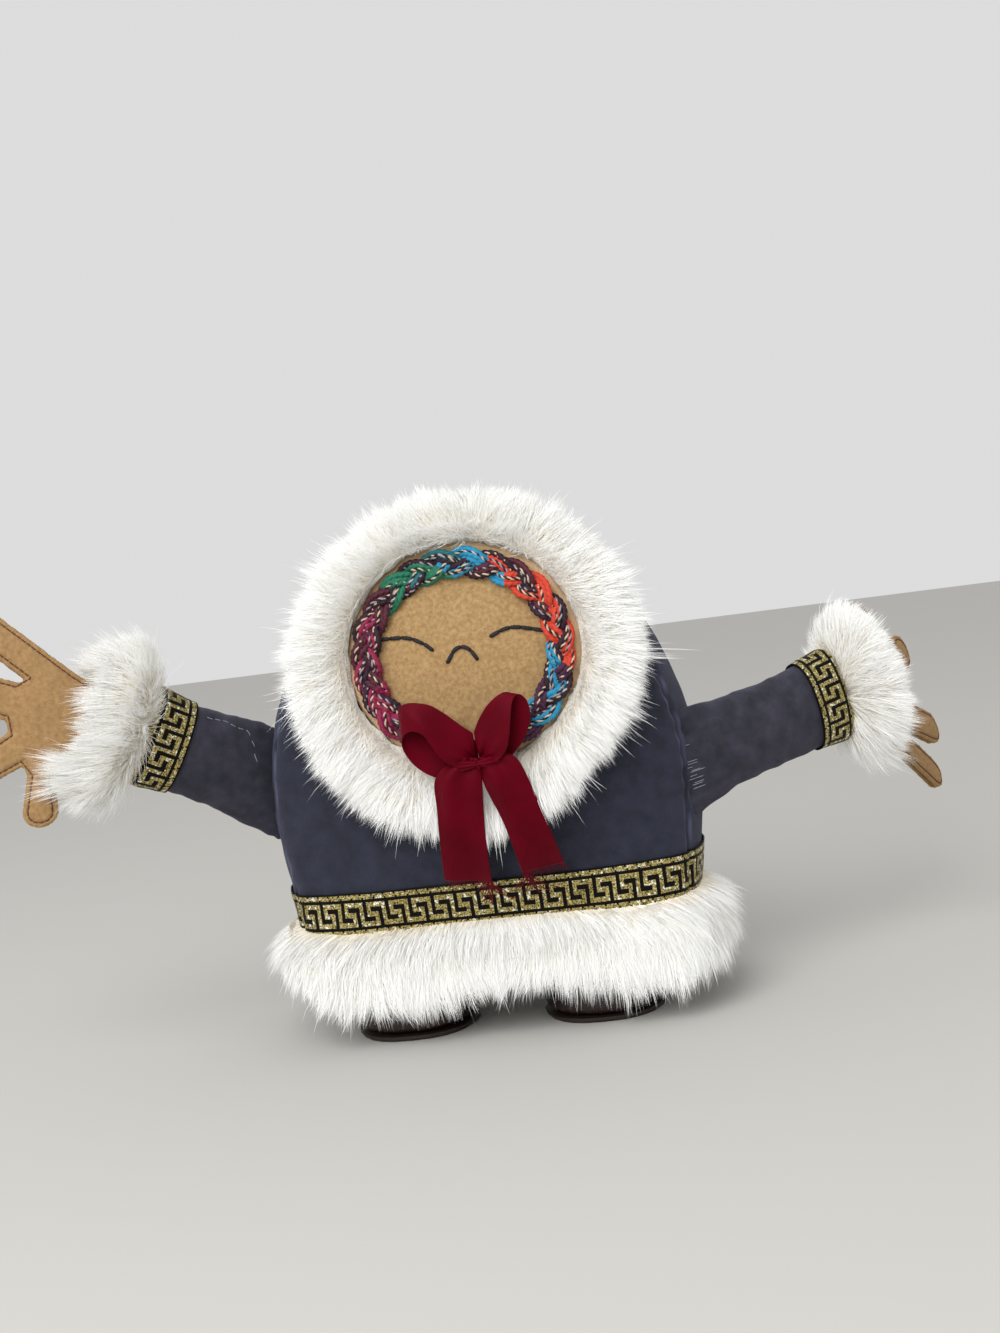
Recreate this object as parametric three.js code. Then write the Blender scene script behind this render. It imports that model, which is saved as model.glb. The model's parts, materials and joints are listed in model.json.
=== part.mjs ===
// A sewn and stuffed doll in a winter parka: boxed velvet body with a fur hood ruff around a felt face,
// a braided ring, a ribbon bow, woven trim, a fur hem, leather boots, and two arms with felt hands.
// Millimetres. +X is the viewer's right, the front faces -Y, +Z is up and the boots stand on z = 0.

import * as THREE from 'three';

// Clearances and cloth
const gap = 0.3;
const velvet = 1.0;
const felt = 1.5;
const ribbon = 0.6;
const trimCloth = 0.6;

// Body, a boxed pillow: front and back panels joined by a gusset
const bodyBottom = 26;
const bodyTop = 187;
const widestAt = 91;
const bodyWidth = 154;
const hemWidth = 141;
const hemCorner = 9;
const centreDrop = 6;
const hemSpring = 1;
const sideSpring = 3;
const gussetWidth = 40;
const panelBulge = 13;
const gussetBulge = 4.6;
const crownPull = 0.55;
const shoulderPull = 0.47;

// Woven trim above the hem, and the fur below it
const hemTrimBottom = 41.5;
const trimWidth = 16.5;
const hemFurFlare = 13;
const hemFurClear = 5;
const hemFurLip = 3;
const hemFurTuck = 6;

// Face, braid and hood ruff, all ovals about one centre
const faceSide = 3.4;
const faceHeight = 141;
const faceWidth = 86;
const faceTall = 81;
const braidWidth = 9;
const braidRise = 1.85;
const braidInset = 3.2;
const braidPeriods = 11;
const braidGapAngle = 14;
const ruffWidth = 19.5;
const ruffDrop = 4;
const ruffHide = 1.5;
const ruffThick = 14;
const threadRadius = 0.55;

// Bow
const bowSide = 2.6;
const bowDrop = 36;
const knotWidth = 14;
const knotTall = 9.5;
const knotDeep = 9;
const ribbonWidth = 17.5;
const loopLength = 27;
const loopRise = 34;
const loopDepth = 9;
const loopTwist = 3.5;
const loopCrease = 0.6;
const loopNeck = 0.45;
const tailLength = 39.5;
const tailForward = 1.9;
const tailFall = 9.5;
const tailCrease = 0.9;
const tailCurl = 0.35;

// Boots
const bootSpread = 36;
const bootWidth = 48;
const bootToe = 31;
const bootHeel = 22;
const soleThick = 2;
const soleLip = 1;
const ankleInset = 9.5;

// Arms
const sleeveTall = 34;
const sleeveThick = 17;
const shoulderTall = 40;
const shoulderForward = 13;
const sleevePuff = 8;
const sleeveSettle = 9;
const sleeveLean = 10;
const sleeveRise = 6;
const sleeveLeast = 0.35;
const sleeveNear = [1.5, 4, 8, 14];
const stuffingStart = 10;
const seamRadius = 0.8;
const seamClear = 0.75;
const cuffTall = 38;
const cuffFurLength = 20;
const cuffFurSwell = 13;
const wristWidth = 23;
const cuffFurRim = 3;
const wristSwing = 41;
const handFelt = 1.3;
const palmStart = 7;

const arms = [
  {
    name: 'left',
    side: -1,
    height: 102,
    sleeveLength: 36,
    swing: 36,
    lift: 29,
    wrist: -15,
    droop: 0,
    thumb: -1,
  },
  {
    name: 'right',
    side: 1,
    height: 91,
    sleeveLength: 51,
    swing: -33,
    lift: 11,
    wrist: -30,
    droop: -12,
    thumb: 1,
  },
];

// Hand: four digits with round tips, and the places where the palm's edge turns; all from the wrist line
const digits = [
  { angle: 20, base: [50, 15.5], width: 13.5, length: 31 },
  { angle: 2, base: [57, 0.8], width: 15, length: 30 },
  { angle: -42, base: [50, -16], width: 15, length: 28 },
  { angle: -95, base: [36, -24], width: 12.5, length: 19 },
];
const palmWidens = 20;
const palmShoulder = [33, 16.5];
const palmTopEase = 1;
const palmThumbEase = 3;

const doll = new THREE.Group();

function finish(colour, roughness, metalness = 0) {
  return new THREE.MeshStandardMaterial({ color: colour, roughness, metalness });
}

const look = {
  velvet: () => finish(0x343650, 0.85),
  stuffing: () => finish(0xe8e6e0, 1),
  fur: () => finish(0xebe8e0, 0.9),
  faceFelt: () => finish(0xbe9b6c, 0.95),
  handFelt: () => finish(0xc0935f, 0.9),
  floss: () => finish(0x141214, 0.8),
  ribbon: () => finish(0x78041f, 0.35),
  trim: () => finish(0x8a7a3c, 0.45, 0.4),
  leather: () => finish(0x2a100c, 0.5),
  sole: () => finish(0x1c100c, 0.7),
};

// Adds a solid to a group under its own name
function add(group, name, geometry, material) {
  const mesh = new THREE.Mesh(geometry, material);
  mesh.name = name;
  group.add(mesh);
  return mesh;
}

// Signed volume of an indexed geometry, positive when its faces point out
function signedVolume(positions, index) {
  const a = new THREE.Vector3();
  const b = new THREE.Vector3();
  const c = new THREE.Vector3();
  let sum = 0;
  for (let i = 0; i < index.length; i += 3) {
    a.fromArray(positions, 3 * index[i]);
    b.fromArray(positions, 3 * index[i + 1]);
    c.fromArray(positions, 3 * index[i + 2]);
    sum += a.dot(b.clone().cross(c)) / 6;
  }
  return sum;
}

// A closed body through rings of points: capped at both ends, or joined end to start when looped.
// A ring of one point is a pole.
function loft(rings, looped = false) {
  const positions = [];
  const starts = rings.map((ring) => {
    const start = positions.length / 3;
    ring.forEach((p) => positions.push(p.x, p.y, p.z));
    return start;
  });
  const index = [];
  const bridge = (i, j) => {
    const from = rings[i].length;
    const to = rings[j].length;
    const count = Math.max(from, to);
    for (let k = 0; k < count; k += 1) {
      const next = (k + 1) % count;
      const a = starts[i] + (from === 1 ? 0 : k);
      const b = starts[i] + (from === 1 ? 0 : next);
      const c = starts[j] + (to === 1 ? 0 : next);
      const d = starts[j] + (to === 1 ? 0 : k);
      if (from > 1) index.push(a, b, to === 1 ? d : c);
      if (to > 1) index.push(a, c, d);
    }
  };
  // An end is closed between the points that lie across from each other
  const cap = (i, flip) => {
    const count = rings[i].length;
    const face = (a, b, c) => index.push(...(flip ? [a, c, b] : [a, b, c]).map((k) => starts[i] + k));
    for (let k = 0; k < count / 2 - 1; k += 1) {
      face(k, count - 2 - k, k + 1);
      face(k, count - 1 - k, count - 2 - k);
    }
  };
  for (let i = 0; i + 1 < rings.length; i += 1) bridge(i, i + 1);
  if (looped) {
    bridge(rings.length - 1, 0);
  } else {
    cap(0, false);
    cap(rings.length - 1, true);
  }
  if (signedVolume(positions, index) < 0) {
    for (let i = 0; i < index.length; i += 3) [index[i + 1], index[i + 2]] = [index[i + 2], index[i + 1]];
  }
  const geometry = new THREE.BufferGeometry();
  geometry.setAttribute('position', new THREE.Float32BufferAttribute(positions, 3));
  geometry.setIndex(index);
  geometry.computeVertexNormals();
  return geometry;
}

// A round tube along a curve
function tube(curve, radius, steps, sides) {
  const section = new THREE.Shape();
  section.absarc(0, 0, radius, 0, 2 * Math.PI);
  return new THREE.ExtrudeGeometry(section, {
    steps,
    curveSegments: sides / 2,
    bevelEnabled: false,
    extrudePath: curve,
  });
}

function range(count, from, to) {
  return Array.from({ length: count + 1 }, (_, i) => from + ((to - from) * i) / count);
}

// Body outline, seen from the front: half of it from the bottom middle to the crown
const centreZ = (bodyBottom + bodyTop) / 2 - centreDrop;

function halfOutline() {
  const wide = bodyWidth / 2;
  const hem = hemWidth / 2;
  const path = new THREE.Path();
  path.moveTo(0, bodyBottom);
  path.lineTo(hem - hemCorner, bodyBottom);
  path.quadraticCurveTo(hem, bodyBottom, hem + hemSpring, bodyBottom + hemCorner);
  const sideRise = widestAt - bodyBottom - hemCorner;
  path.bezierCurveTo(
    hem + sideSpring, bodyBottom + hemCorner + sideRise / 3,
    wide, widestAt - sideRise / 2,
    wide, widestAt,
  );
  const crownRise = bodyTop - widestAt;
  path.bezierCurveTo(wide, widestAt + shoulderPull * crownRise, crownPull * wide, bodyTop, 0, bodyTop);
  return path;
}

const outlineSteps = 22;
const rightHalf = halfOutline().getSpacedPoints(outlineSteps);
const outline = rightHalf
  .map((p) => ({ x: p.x, z: p.y }))
  .concat(rightHalf.slice(1, -1).reverse().map((p) => ({ x: -p.x, z: p.y })));

const fineHalf = halfOutline().getSpacedPoints(400).map((p) => ({
  x: p.x,
  z: p.y,
  angle: Math.atan2(p.y - centreZ, p.x),
  radius: Math.hypot(p.x, p.y - centreZ),
}));

// The value of one field of the fine outline where another field passes a given value
function along(points, key, value, field) {
  let i = 1;
  while (i < points.length - 1 && points[i][key] < value) i += 1;
  const a = points[i - 1];
  const b = points[i];
  const t = (value - a[key]) / (b[key] - a[key] || 1);
  return a[field] + (b[field] - a[field]) * Math.min(1, Math.max(0, t));
}

const sideOutline = fineHalf.filter((p) => p.x > 0 && p.z > bodyBottom + 0.01);

function halfWidthAt(z) {
  return along(sideOutline, 'z', z, 'x');
}

// How far out from the middle plane the front panel lies at a point, and how far from the outline it is
function reach(x, z) {
  const angle = Math.atan2(z - centreZ, Math.abs(x));
  return Math.hypot(x, z - centreZ) / along(fineHalf, 'angle', angle, 'radius');
}

function swell(share) {
  return Math.sqrt(Math.max(0, 1 - share ** 4));
}

function panelDepth(x, z) {
  return (gussetWidth + gap) / 2 + panelBulge * swell(Math.min(1, reach(x, z)));
}

function outlineNormal(i) {
  const before = outline[(i + outline.length - 1) % outline.length];
  const after = outline[(i + 1) % outline.length];
  const n = new THREE.Vector2(after.z - before.z, before.x - after.x);
  return n.normalize();
}

// The outline drawn in by a distance and scaled about the middle of the panel
function outlineRing(inset, share, y) {
  return outline.map((p, i) => {
    const n = outlineNormal(i);
    const x = p.x - n.x * inset;
    const z = p.z - n.y * inset;
    return new THREE.Vector3(x * share, y(x * share, z, share), centreZ + (z - centreZ) * share);
  });
}

const panelShares = [0.2, 0.4, 0.58, 0.73, 0.85, 0.93, 0.98, 1];

function panelRings(inset, bulge, edge, sign, shares) {
  return shares.map((s) => outlineRing(inset, s, () => sign * (edge + bulge * swell(s))));
}

// Front or back panel: a thin domed shell whose rim stops short of the gusset
function panel(sign) {
  const edge = gussetWidth / 2 + gap / 2;
  const outer = panelRings(0, panelBulge, edge, sign, panelShares);
  const inner = panelRings(velvet, panelBulge - velvet, edge, sign, panelShares.slice(1)).reverse();
  const pole = (depth) => [new THREE.Vector3(0, sign * (edge + depth), centreZ)];
  return loft([pole(panelBulge), ...outer, ...inner, pole(panelBulge - velvet)]);
}

function gussetOffset(y, width) {
  return gussetBulge * (1 - (2 * y / width) ** 2);
}

// A strip of the gusset between two places on the outline, stopping half a gap short of each
function strip(from, to) {
  const width = gussetWidth - gap;
  const across = range(6, -width / 2, width / 2);
  const rings = [];
  for (let i = from; i <= to; i += 1) {
    const k = (i + outline.length) % outline.length;
    const n = outlineNormal(k);
    const towards = i === from ? 1 : -1;
    const short = i === from || i === to ? (towards * gap) / 2 : 0;
    const p = { x: outline[k].x - n.y * short, z: outline[k].z + n.x * short };
    const at = (y, out) => new THREE.Vector3(p.x + n.x * out, y, p.z + n.y * out);
    const outer = across.map((y) => at(y, gussetOffset(y, gussetWidth)));
    const inner = across.map((y) => at(y, gussetOffset(y, gussetWidth) - velvet)).reverse();
    rings.push([...outer, ...inner]);
  }
  return loft(rings);
}

function stuffing() {
  const inset = velvet + 2 * gap;
  const half = gussetWidth / 2;
  const bulge = panelBulge - velvet - gap;
  const shares = panelShares.slice(1);
  const front = panelRings(inset, bulge, half, -1, shares);
  const back = panelRings(inset, bulge, half, 1, shares).reverse();
  const sides = range(4, -half, half).slice(1, -1).map((y) => {
    return outlineRing(inset - gussetOffset(y, gussetWidth), 1, () => y);
  });
  const pole = (sign) => [new THREE.Vector3(0, sign * (half + bulge), centreZ)];
  return loft([pole(-1), ...front, ...sides, ...back, pole(1)]);
}

// The body's outline seen from above at one height, pushed out by a distance
function bodySection(z, out) {
  const wide = halfWidthAt(z);
  const half = gussetWidth / 2;
  const turns = range(20, -Math.PI / 2, Math.PI / 2);
  const front = turns.map((t) => {
    const x = wide * Math.sin(t);
    return new THREE.Vector2(x, -panelDepth(x, z));
  });
  const side = range(6, -half, half).slice(1, -1).map((y) => {
    return new THREE.Vector2(wide + gussetOffset(y, gussetWidth), y);
  });
  const back = front.map((p) => new THREE.Vector2(-p.x, -p.y));
  const loop = [...front, ...side, ...back, ...side.map((p) => new THREE.Vector2(-p.x, -p.y))];
  return loop.map((p, i) => {
    const before = loop[(i + loop.length - 1) % loop.length];
    const after = loop[(i + 1) % loop.length];
    const n = new THREE.Vector2(after.y - before.y, before.x - after.x).normalize();
    return new THREE.Vector3(p.x + n.x * out, p.y + n.y * out, z);
  });
}

// A ring that goes round the body: each station is a list of heights and distances out
function bodyBand(profile) {
  const loops = profile.map(([z, out, from = z]) => {
    return bodySection(from, out).map((p) => new THREE.Vector3(p.x, p.y, z));
  });
  const stations = loops[0].map((_, i) => loops.map((loop) => loop[i]));
  return loft(stations, true);
}

function hemTrim() {
  const heights = range(2, hemTrimBottom, hemTrimBottom + trimWidth);
  const clear = 1.5 * gap;
  const outer = heights.map((z) => [z, clear + trimCloth]);
  const inner = heights.map((z) => [z, clear]).reverse();
  return bodyBand([...outer, ...inner]);
}

function hemFur() {
  const top = hemTrimBottom - gap;
  const hold = bodyBottom + hemCorner;
  const low = (share) => hemFurClear + (bodyBottom - hemFurClear) * share;
  return bodyBand([
    [top, 2 * gap, top],
    [top - hemFurTuck / 6, hemFurLip, top],
    [top - hemFurTuck, 0.55 * hemFurFlare, hold + hemFurTuck / 3],
    [low(0.85), 0.85 * hemFurFlare, hold],
    [low(0.45), hemFurFlare, hold],
    [low(0.15), 0.95 * hemFurFlare, hold],
    [hemFurClear, 0.75 * hemFurFlare, hold],
    [low(0.1), 0.6 * hemFurFlare, hold],
    [low(0.6), 0.55 * hemFurFlare, hold],
    [bodyBottom, hemFurLip, hold],
    [hold, 2 * gap, hold],
  ]);
}

// A point of the face's ovals: how far from the middle, at an angle
function faceOval(halfWide, halfTall, angle, drop = 0) {
  return { x: faceSide + halfWide * Math.cos(angle), z: faceHeight - drop + halfTall * Math.sin(angle) };
}

const turn = (steps, start = 0) => range(steps, start, start + 2 * Math.PI).slice(0, -1);

function faceDisc() {
  const rings = (back, shares) => shares.map((s) => turn(40).map((a) => {
    const p = faceOval(s * faceWidth / 2, s * faceTall / 2, a);
    return new THREE.Vector3(p.x, -panelDepth(p.x, p.z) - back, p.z);
  }));
  const pole = (back) => {
    return [new THREE.Vector3(faceSide, -panelDepth(faceSide, faceHeight) - back, faceHeight)];
  };
  const shares = [0.35, 0.7, 1];
  const under = 2 * gap;
  return loft([
    pole(under + felt),
    ...rings(under + felt, shares),
    ...rings(under, shares).reverse(),
    pole(under),
  ]);
}

// How far the front of the face stands from the middle plane
function faceFront(x, z) {
  return panelDepth(x, z) + 2 * gap + felt;
}

// The hood ruff: a fur strip that swells forward around the face
function hoodRuff() {
  const shares = range(5, 0, 1);
  const clear = 2 * gap;
  const inner = { wide: faceWidth / 2 + clear, tall: faceTall / 2 + clear };
  const stations = turn(40).map((a) => {
    const at = (s, forward) => {
      const p = faceOval(inner.wide + s * ruffWidth, inner.tall + s * ruffWidth, a, s * ruffDrop);
      return new THREE.Vector3(p.x, -panelDepth(p.x, p.z) - clear - forward, p.z);
    };
    const pile = (s) => Math.sin(Math.PI * (0.06 + 0.88 * s)) ** 0.8;
    const front = shares.map((s) => at(s, ruffHide + ruffThick * pile(s)));
    const back = shares.map((s) => at(s, 2 * gap)).reverse();
    return [...front, ...back];
  });
  return loft(stations, true);
}

// Three-strand braid: each strand weaves side to side once while it rises and dips twice
class BraidStrand extends THREE.Curve {
  constructor(phase, radius) {
    super();
    this.phase = phase;
    this.radius = radius;
  }

  getPoint(t, target = new THREE.Vector3()) {
    const half = THREE.MathUtils.degToRad(braidGapAngle) / 2;
    const angle = -Math.PI / 2 + half + t * (2 * Math.PI - 2 * half);
    const weave = 2 * Math.PI * braidPeriods * t + this.phase;
    const sway = (braidWidth / 2 - this.radius) * Math.sin(weave);
    const rise = braidRise * Math.sin(2 * weave);
    const middle = braidInset + braidWidth / 2;
    const p = faceOval(faceWidth / 2 - middle + sway, faceTall / 2 - middle + sway, angle);
    const stand = gap + this.radius + braidRise + rise;
    return target.set(p.x, -faceFront(p.x, p.z) - stand, p.z);
  }
}

const phases = [0, 1, 2].map((k) => (2 * Math.PI * k) / 3);

// The fattest strand that leaves the named gap between neighbours
function strandRadius() {
  let radius = braidWidth / 5;
  for (let pass = 0; pass < 4; pass += 1) {
    const strands = phases.map((p) => new BraidStrand(p, radius));
    const runs = strands.map((strand) => range(braidPeriods * 40, 0, 1).map((t) => strand.getPoint(t)));
    let least = Infinity;
    [[0, 1], [1, 2], [2, 0]].forEach(([a, b]) => runs[a].forEach((p, i) => {
      const near = runs[b].slice(Math.max(0, i - 12), i + 13);
      near.forEach((q) => { least = Math.min(least, p.distanceTo(q)); });
    }));
    radius = (least - gap) / 2;
  }
  return radius;
}

// Embroidered lines of the face, as shares of its half width and half height from its middle
const eyeLeft = [[-0.65, 0.22], [-0.465, 0.205], [-0.33, 0.14], [-0.242, 0.062]];
const eyeRight = [[0.242, 0.123], [0.372, 0.173], [0.488, 0.173], [0.642, 0.131]];
const mouth = [[-0.14, -0.062], [-0.063, 0.047], [0.009, 0.064], [0.067, 0.027], [0.121, -0.067]];

function embroidery(points) {
  const route = points.map(([across, up]) => {
    const x = faceSide + (across * faceWidth) / 2;
    const z = faceHeight + (up * faceTall) / 2;
    return new THREE.Vector3(x, -faceFront(x, z) - gap - threadRadius, z);
  });
  return tube(new THREE.CatmullRomCurve3(route), threadRadius, 4 * points.length, 6);
}

// Bow, about its knot
const knot = new THREE.Vector3(
  faceSide + bowSide,
  -panelDepth(faceSide, faceHeight) - 2 * gap - ruffHide - ruffThick,
  faceHeight - bowDrop,
);

function bowKnot() {
  const levels = [[-1, 0], [-0.9, 0.62], [-0.55, 0.92], [0, 1], [0.55, 0.92], [0.9, 0.62], [1, 0]];
  const rings = levels.map(([height, wide]) => {
    const z = knot.z + (height * knotTall) / 2;
    if (wide === 0) return [new THREE.Vector3(knot.x, knot.y, z)];
    return turn(16).map((a) => new THREE.Vector3(
      knot.x + (wide * knotWidth * Math.cos(a)) / 2,
      knot.y + (wide * knotDeep * Math.sin(a)) / 2,
      z,
    ));
  });
  return loft(rings);
}

// A ribbon of one thickness along a centre line: each stop has a place, a way across, a half width and a
// crease depth, and the ring of points goes across the face and back along the other side
function ribbonStrip(stops) {
  const across = range(6, -1, 1);
  const rings = stops.map((stop, i) => {
    const before = stops[Math.max(0, i - 1)].at;
    const after = stops[Math.min(stops.length - 1, i + 1)].at;
    const run = after.clone().sub(before).normalize();
    const normal = run.clone().cross(stop.across).normalize();
    const point = (v, lift) => stop.at.clone()
      .addScaledVector(stop.across, v * stop.half)
      .addScaledVector(normal, lift + stop.crease * Math.cos(1.5 * Math.PI * v));
    return [
      ...across.map((v) => point(v, ribbon / 2)),
      ...across.map((v) => point(v, -ribbon / 2)).reverse(),
    ];
  });
  return loft(rings);
}

// A loop goes out from the knot along its front layer and comes back along the other, twisted a little, so
// that its two layers lie apart; it is drawn in beside the knot, where its ends part
function bowLoop(side) {
  const rise = THREE.MathUtils.degToRad(loopRise);
  const out = new THREE.Vector3(side * Math.cos(rise), 0, Math.sin(rise));
  const across = new THREE.Vector3(-side * Math.sin(rise), 0, Math.cos(rise));
  const start = knotWidth / 2 + gap;
  const apart = ribbon + gap;
  const stops = range(16, 0, 1).map((t) => {
    const angle = Math.PI * (2 * t - 1);
    const share = (1 + Math.cos(angle)) / 2;
    const reachOut = start + (loopLength - start) * share;
    const nearEnd = Math.max(0, 1 - 6 * Math.min(t, 1 - t));
    const spread = (loopDepth / 2) * Math.sin(angle) * (0.25 + 0.75 * Math.sqrt(share));
    const at = knot.clone().addScaledVector(out, reachOut)
      .addScaledVector(across, loopTwist * Math.sin(angle) * share);
    at.y += spread + (t < 0.5 ? 1 : -1) * nearEnd * apart;
    const full = Math.sin((Math.PI / 2) * Math.min(1, 1.3 * share + 0.1));
    const half = ((loopNeck + (1 - loopNeck) * full) * ribbonWidth) / 2;
    return { at, across, half, crease: loopCrease * (1 - share) };
  });
  return ribbonStrip(stops);
}

// Each tail hangs from the knot over the ruff and down to the trim
const tailPlans = {
  left: { start: -7.9, end: -10.8, lean: 0.02 },
  right: { start: 7.2, end: 17, lean: 0.12 },
};
const tailHinge = knot.z - knotTall / 2 - 2 * gap;

function bowTail(plan) {
  const across = new THREE.Vector3(Math.cos(plan.lean), 0, Math.sin(plan.lean));
  const stops = range(10, 0, 1).map((t) => {
    const z = tailHinge - t * tailLength;
    const x = knot.x + plan.start + (plan.end - plan.start) * Math.sin((Math.PI / 2) * t);
    const y = knot.y - tailForward + tailFall * t * t * t;
    const half = (ribbonWidth / 2) * Math.min(1, 0.8 + 1.2 * t);
    const crease = tailCrease * (1 - t) * Math.cos(2.5 * t) + tailCurl;
    return { at: new THREE.Vector3(x, y, z), across, half, crease };
  });
  return ribbonStrip(stops);
}

// Boot outline seen from above, a rounded toe and a narrower heel
function bootOutline(side, margin) {
  const half = bootWidth / 2 - margin;
  return turn(28).map((a) => {
    const forward = Math.sin(a) < 0;
    const long = (forward ? bootToe : bootHeel) - margin;
    const square = forward ? 0.8 : 0.9;
    const x = half * Math.sign(Math.cos(a)) * Math.abs(Math.cos(a)) ** square;
    const y = long * Math.sign(Math.sin(a)) * Math.abs(Math.sin(a)) ** square;
    const taper = forward ? 1 : 0.88;
    return new THREE.Vector3(side * bootSpread + x * taper, y, 0);
  });
}

function atHeight(ring, z) {
  return ring.map((p) => new THREE.Vector3(p.x, p.y, z));
}

function bootSole(side) {
  const edge = bootOutline(side, 0);
  const tucked = bootOutline(side, soleLip);
  return loft([atHeight(tucked, 0), atHeight(edge, soleLip), atHeight(edge, soleThick)]);
}

function bootUpper(side) {
  const foot = soleThick + gap;
  const top = bodyBottom - gussetBulge - 2 * gap;
  const levels = [
    [0, soleLip],
    [0.12, 0],
    [0.35, 0.04 * ankleInset],
    [0.6, 0.23 * ankleInset],
    [0.82, 0.58 * ankleInset],
    [1, ankleInset],
  ];
  return loft(levels.map(([share, margin]) => {
    return atHeight(bootOutline(side, margin), foot + (top - foot) * share);
  }));
}

// Arms: built along local +X from the shoulder seam, whose line is the hinge
function seamReach(z) {
  return halfWidthAt(z) + gussetOffset(-shoulderForward, gussetWidth);
}

function shoulderAxis(arm) {
  const heights = range(20, arm.height - shoulderTall / 2, arm.height + shoulderTall / 2);
  return Math.max(...heights.map(seamReach)) + seamRadius + seamClear;
}

function sleeveHalfThick(s) {
  return seamRadius + (sleeveThick / 2 - seamRadius) * (1 - Math.exp(-s / sleevePuff));
}

function sleeveHalfTall(arm, s) {
  const settle = Math.exp(-s / sleeveSettle);
  const flare = Math.max(0, (s - arm.sleeveLength) / trimWidth);
  return sleeveTall / 2 + ((shoulderTall - sleeveTall) / 2) * settle + flare * (cuffTall - sleeveTall) / 2;
}

// A section of the sleeve: it stands upright at the seam and square to the arm beyond it
function sleeveRing(arm, s, out, root = false) {
  const lift = THREE.MathUtils.degToRad(arm.lift);
  const lean = lift * (1 - Math.exp(-s / sleeveLean));
  const rise = s * Math.sin(lift) * (1 - Math.exp(-s / sleeveRise));
  const centre = new THREE.Vector3(s * Math.cos(lift), 0, rise);
  const tall = sleeveHalfTall(arm, s) + out;
  const thick = Math.max(sleeveLeast, sleeveHalfThick(s) + out);
  return turn(24, -Math.PI / 2).map((a) => {
    const v = tall * Math.sign(Math.sin(a)) * Math.abs(Math.sin(a)) ** 0.9;
    const w = thick * Math.sign(Math.cos(a)) * Math.abs(Math.cos(a)) ** 0.9;
    let x = centre.x - v * Math.sin(lean);
    if (root) {
      const away = shoulderAxis(arm) - seamReach(arm.height + v);
      x = -(away - seamRadius - seamClear) - 0.4 * seamRadius;
    }
    return new THREE.Vector3(arm.side * x, w, centre.z + v * Math.cos(lean));
  });
}

function cuffEnd(arm) {
  return arm.sleeveLength + trimWidth;
}

function sleeveStops(arm) {
  const far = range(3, sleeveNear[sleeveNear.length - 1], arm.sleeveLength).slice(1);
  return [...sleeveNear, ...far, arm.sleeveLength + trimWidth / 2, cuffEnd(arm)];
}

function sleeveSolid(arm) {
  const stops = sleeveStops(arm);
  const outer = stops.map((s) => sleeveRing(arm, s, 0));
  const inner = stops.slice(2).map((s) => sleeveRing(arm, s, -velvet)).reverse();
  return loft([sleeveRing(arm, 0, 0, true), ...outer, ...inner]);
}

function sleeveStuffing(arm) {
  const stops = [stuffingStart, sleeveStops(arm)[4], arm.sleeveLength, cuffEnd(arm) - gap];
  return loft(stops.map((s) => sleeveRing(arm, s, -velvet - gap)));
}

function cuffTrim(arm) {
  const stops = range(3, arm.sleeveLength, cuffEnd(arm));
  const rings = [...stops.map((s) => [s, gap + trimCloth]), ...stops.map((s) => [s, gap]).reverse()];
  const loops = rings.map(([s, out]) => sleeveRing(arm, s, out));
  return loft(loops[0].map((_, i) => loops.map((loop) => loop[i])), true);
}

// The line of the arm at the wrist: a place and the three directions there
function wristFrame(arm) {
  const lift = THREE.MathUtils.degToRad(arm.lift);
  const s = cuffEnd(arm) + handFelt + 1.5 * gap;
  return {
    at: new THREE.Vector3(arm.side * s * Math.cos(lift), 0, s * Math.sin(lift)),
    along: new THREE.Vector3(arm.side * Math.cos(lift), 0, Math.sin(lift)),
    across: new THREE.Vector3(-arm.side * Math.sin(lift), 0, Math.cos(lift)),
  };
}

// A ring square to the arm: an oval, or a rounded oblong where boxed is near 0
function wristRing(frame, s, tall, thick, boxed = 1) {
  return turn(24).map((a) => frame.at.clone()
    .addScaledVector(frame.along, s)
    .addScaledVector(frame.across, tall * Math.sign(Math.sin(a)) * Math.abs(Math.sin(a)) ** boxed)
    .add(new THREE.Vector3(0, thick * Math.sign(Math.cos(a)) * Math.abs(Math.cos(a)) ** boxed, 0)));
}

// The fur at the cuff: its mouth opens as wide as the hand can swing
function cuffFur(arm) {
  const frame = wristFrame(arm);
  const back = -handFelt - gap / 2;
  const end = back + cuffFurLength;
  const tall = cuffTall / 2;
  const thick = sleeveThick / 2;
  const open = Math.tan(THREE.MathUtils.degToRad(wristSwing));
  const mouthBox = 0.3;
  const mouthTall = (s) => wristWidth / 2 + gap + 0.62 * Math.max(0, s);
  const mouthThick = (s) => handFelt + 5 * gap + open * Math.max(0, s);
  const rings = [
    [back, tall, thick],
    [back + 0.2 * cuffFurLength, tall + 0.6 * cuffFurSwell, thick + 0.6 * cuffFurSwell],
    [back + 0.5 * cuffFurLength, tall + cuffFurSwell, thick + cuffFurSwell],
    [back + 0.8 * cuffFurLength, tall + cuffFurSwell, thick + cuffFurSwell],
    [end, mouthTall(end) + cuffFurRim, mouthThick(end) + 0.7 * cuffFurRim, 0.6],
    [end, mouthTall(end), mouthThick(end), mouthBox],
    [0.5 * end, mouthTall(0.5 * end), mouthThick(0.5 * end), mouthBox],
    [gap, mouthTall(0), mouthThick(0), mouthBox],
    [back, mouthTall(0), mouthThick(0), mouthBox],
  ].map(([s, high, wide, boxed]) => wristRing(frame, s, high, wide, boxed));
  return loft(rings[0].map((_, i) => rings.map((ring) => ring[i])), true);
}

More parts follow.
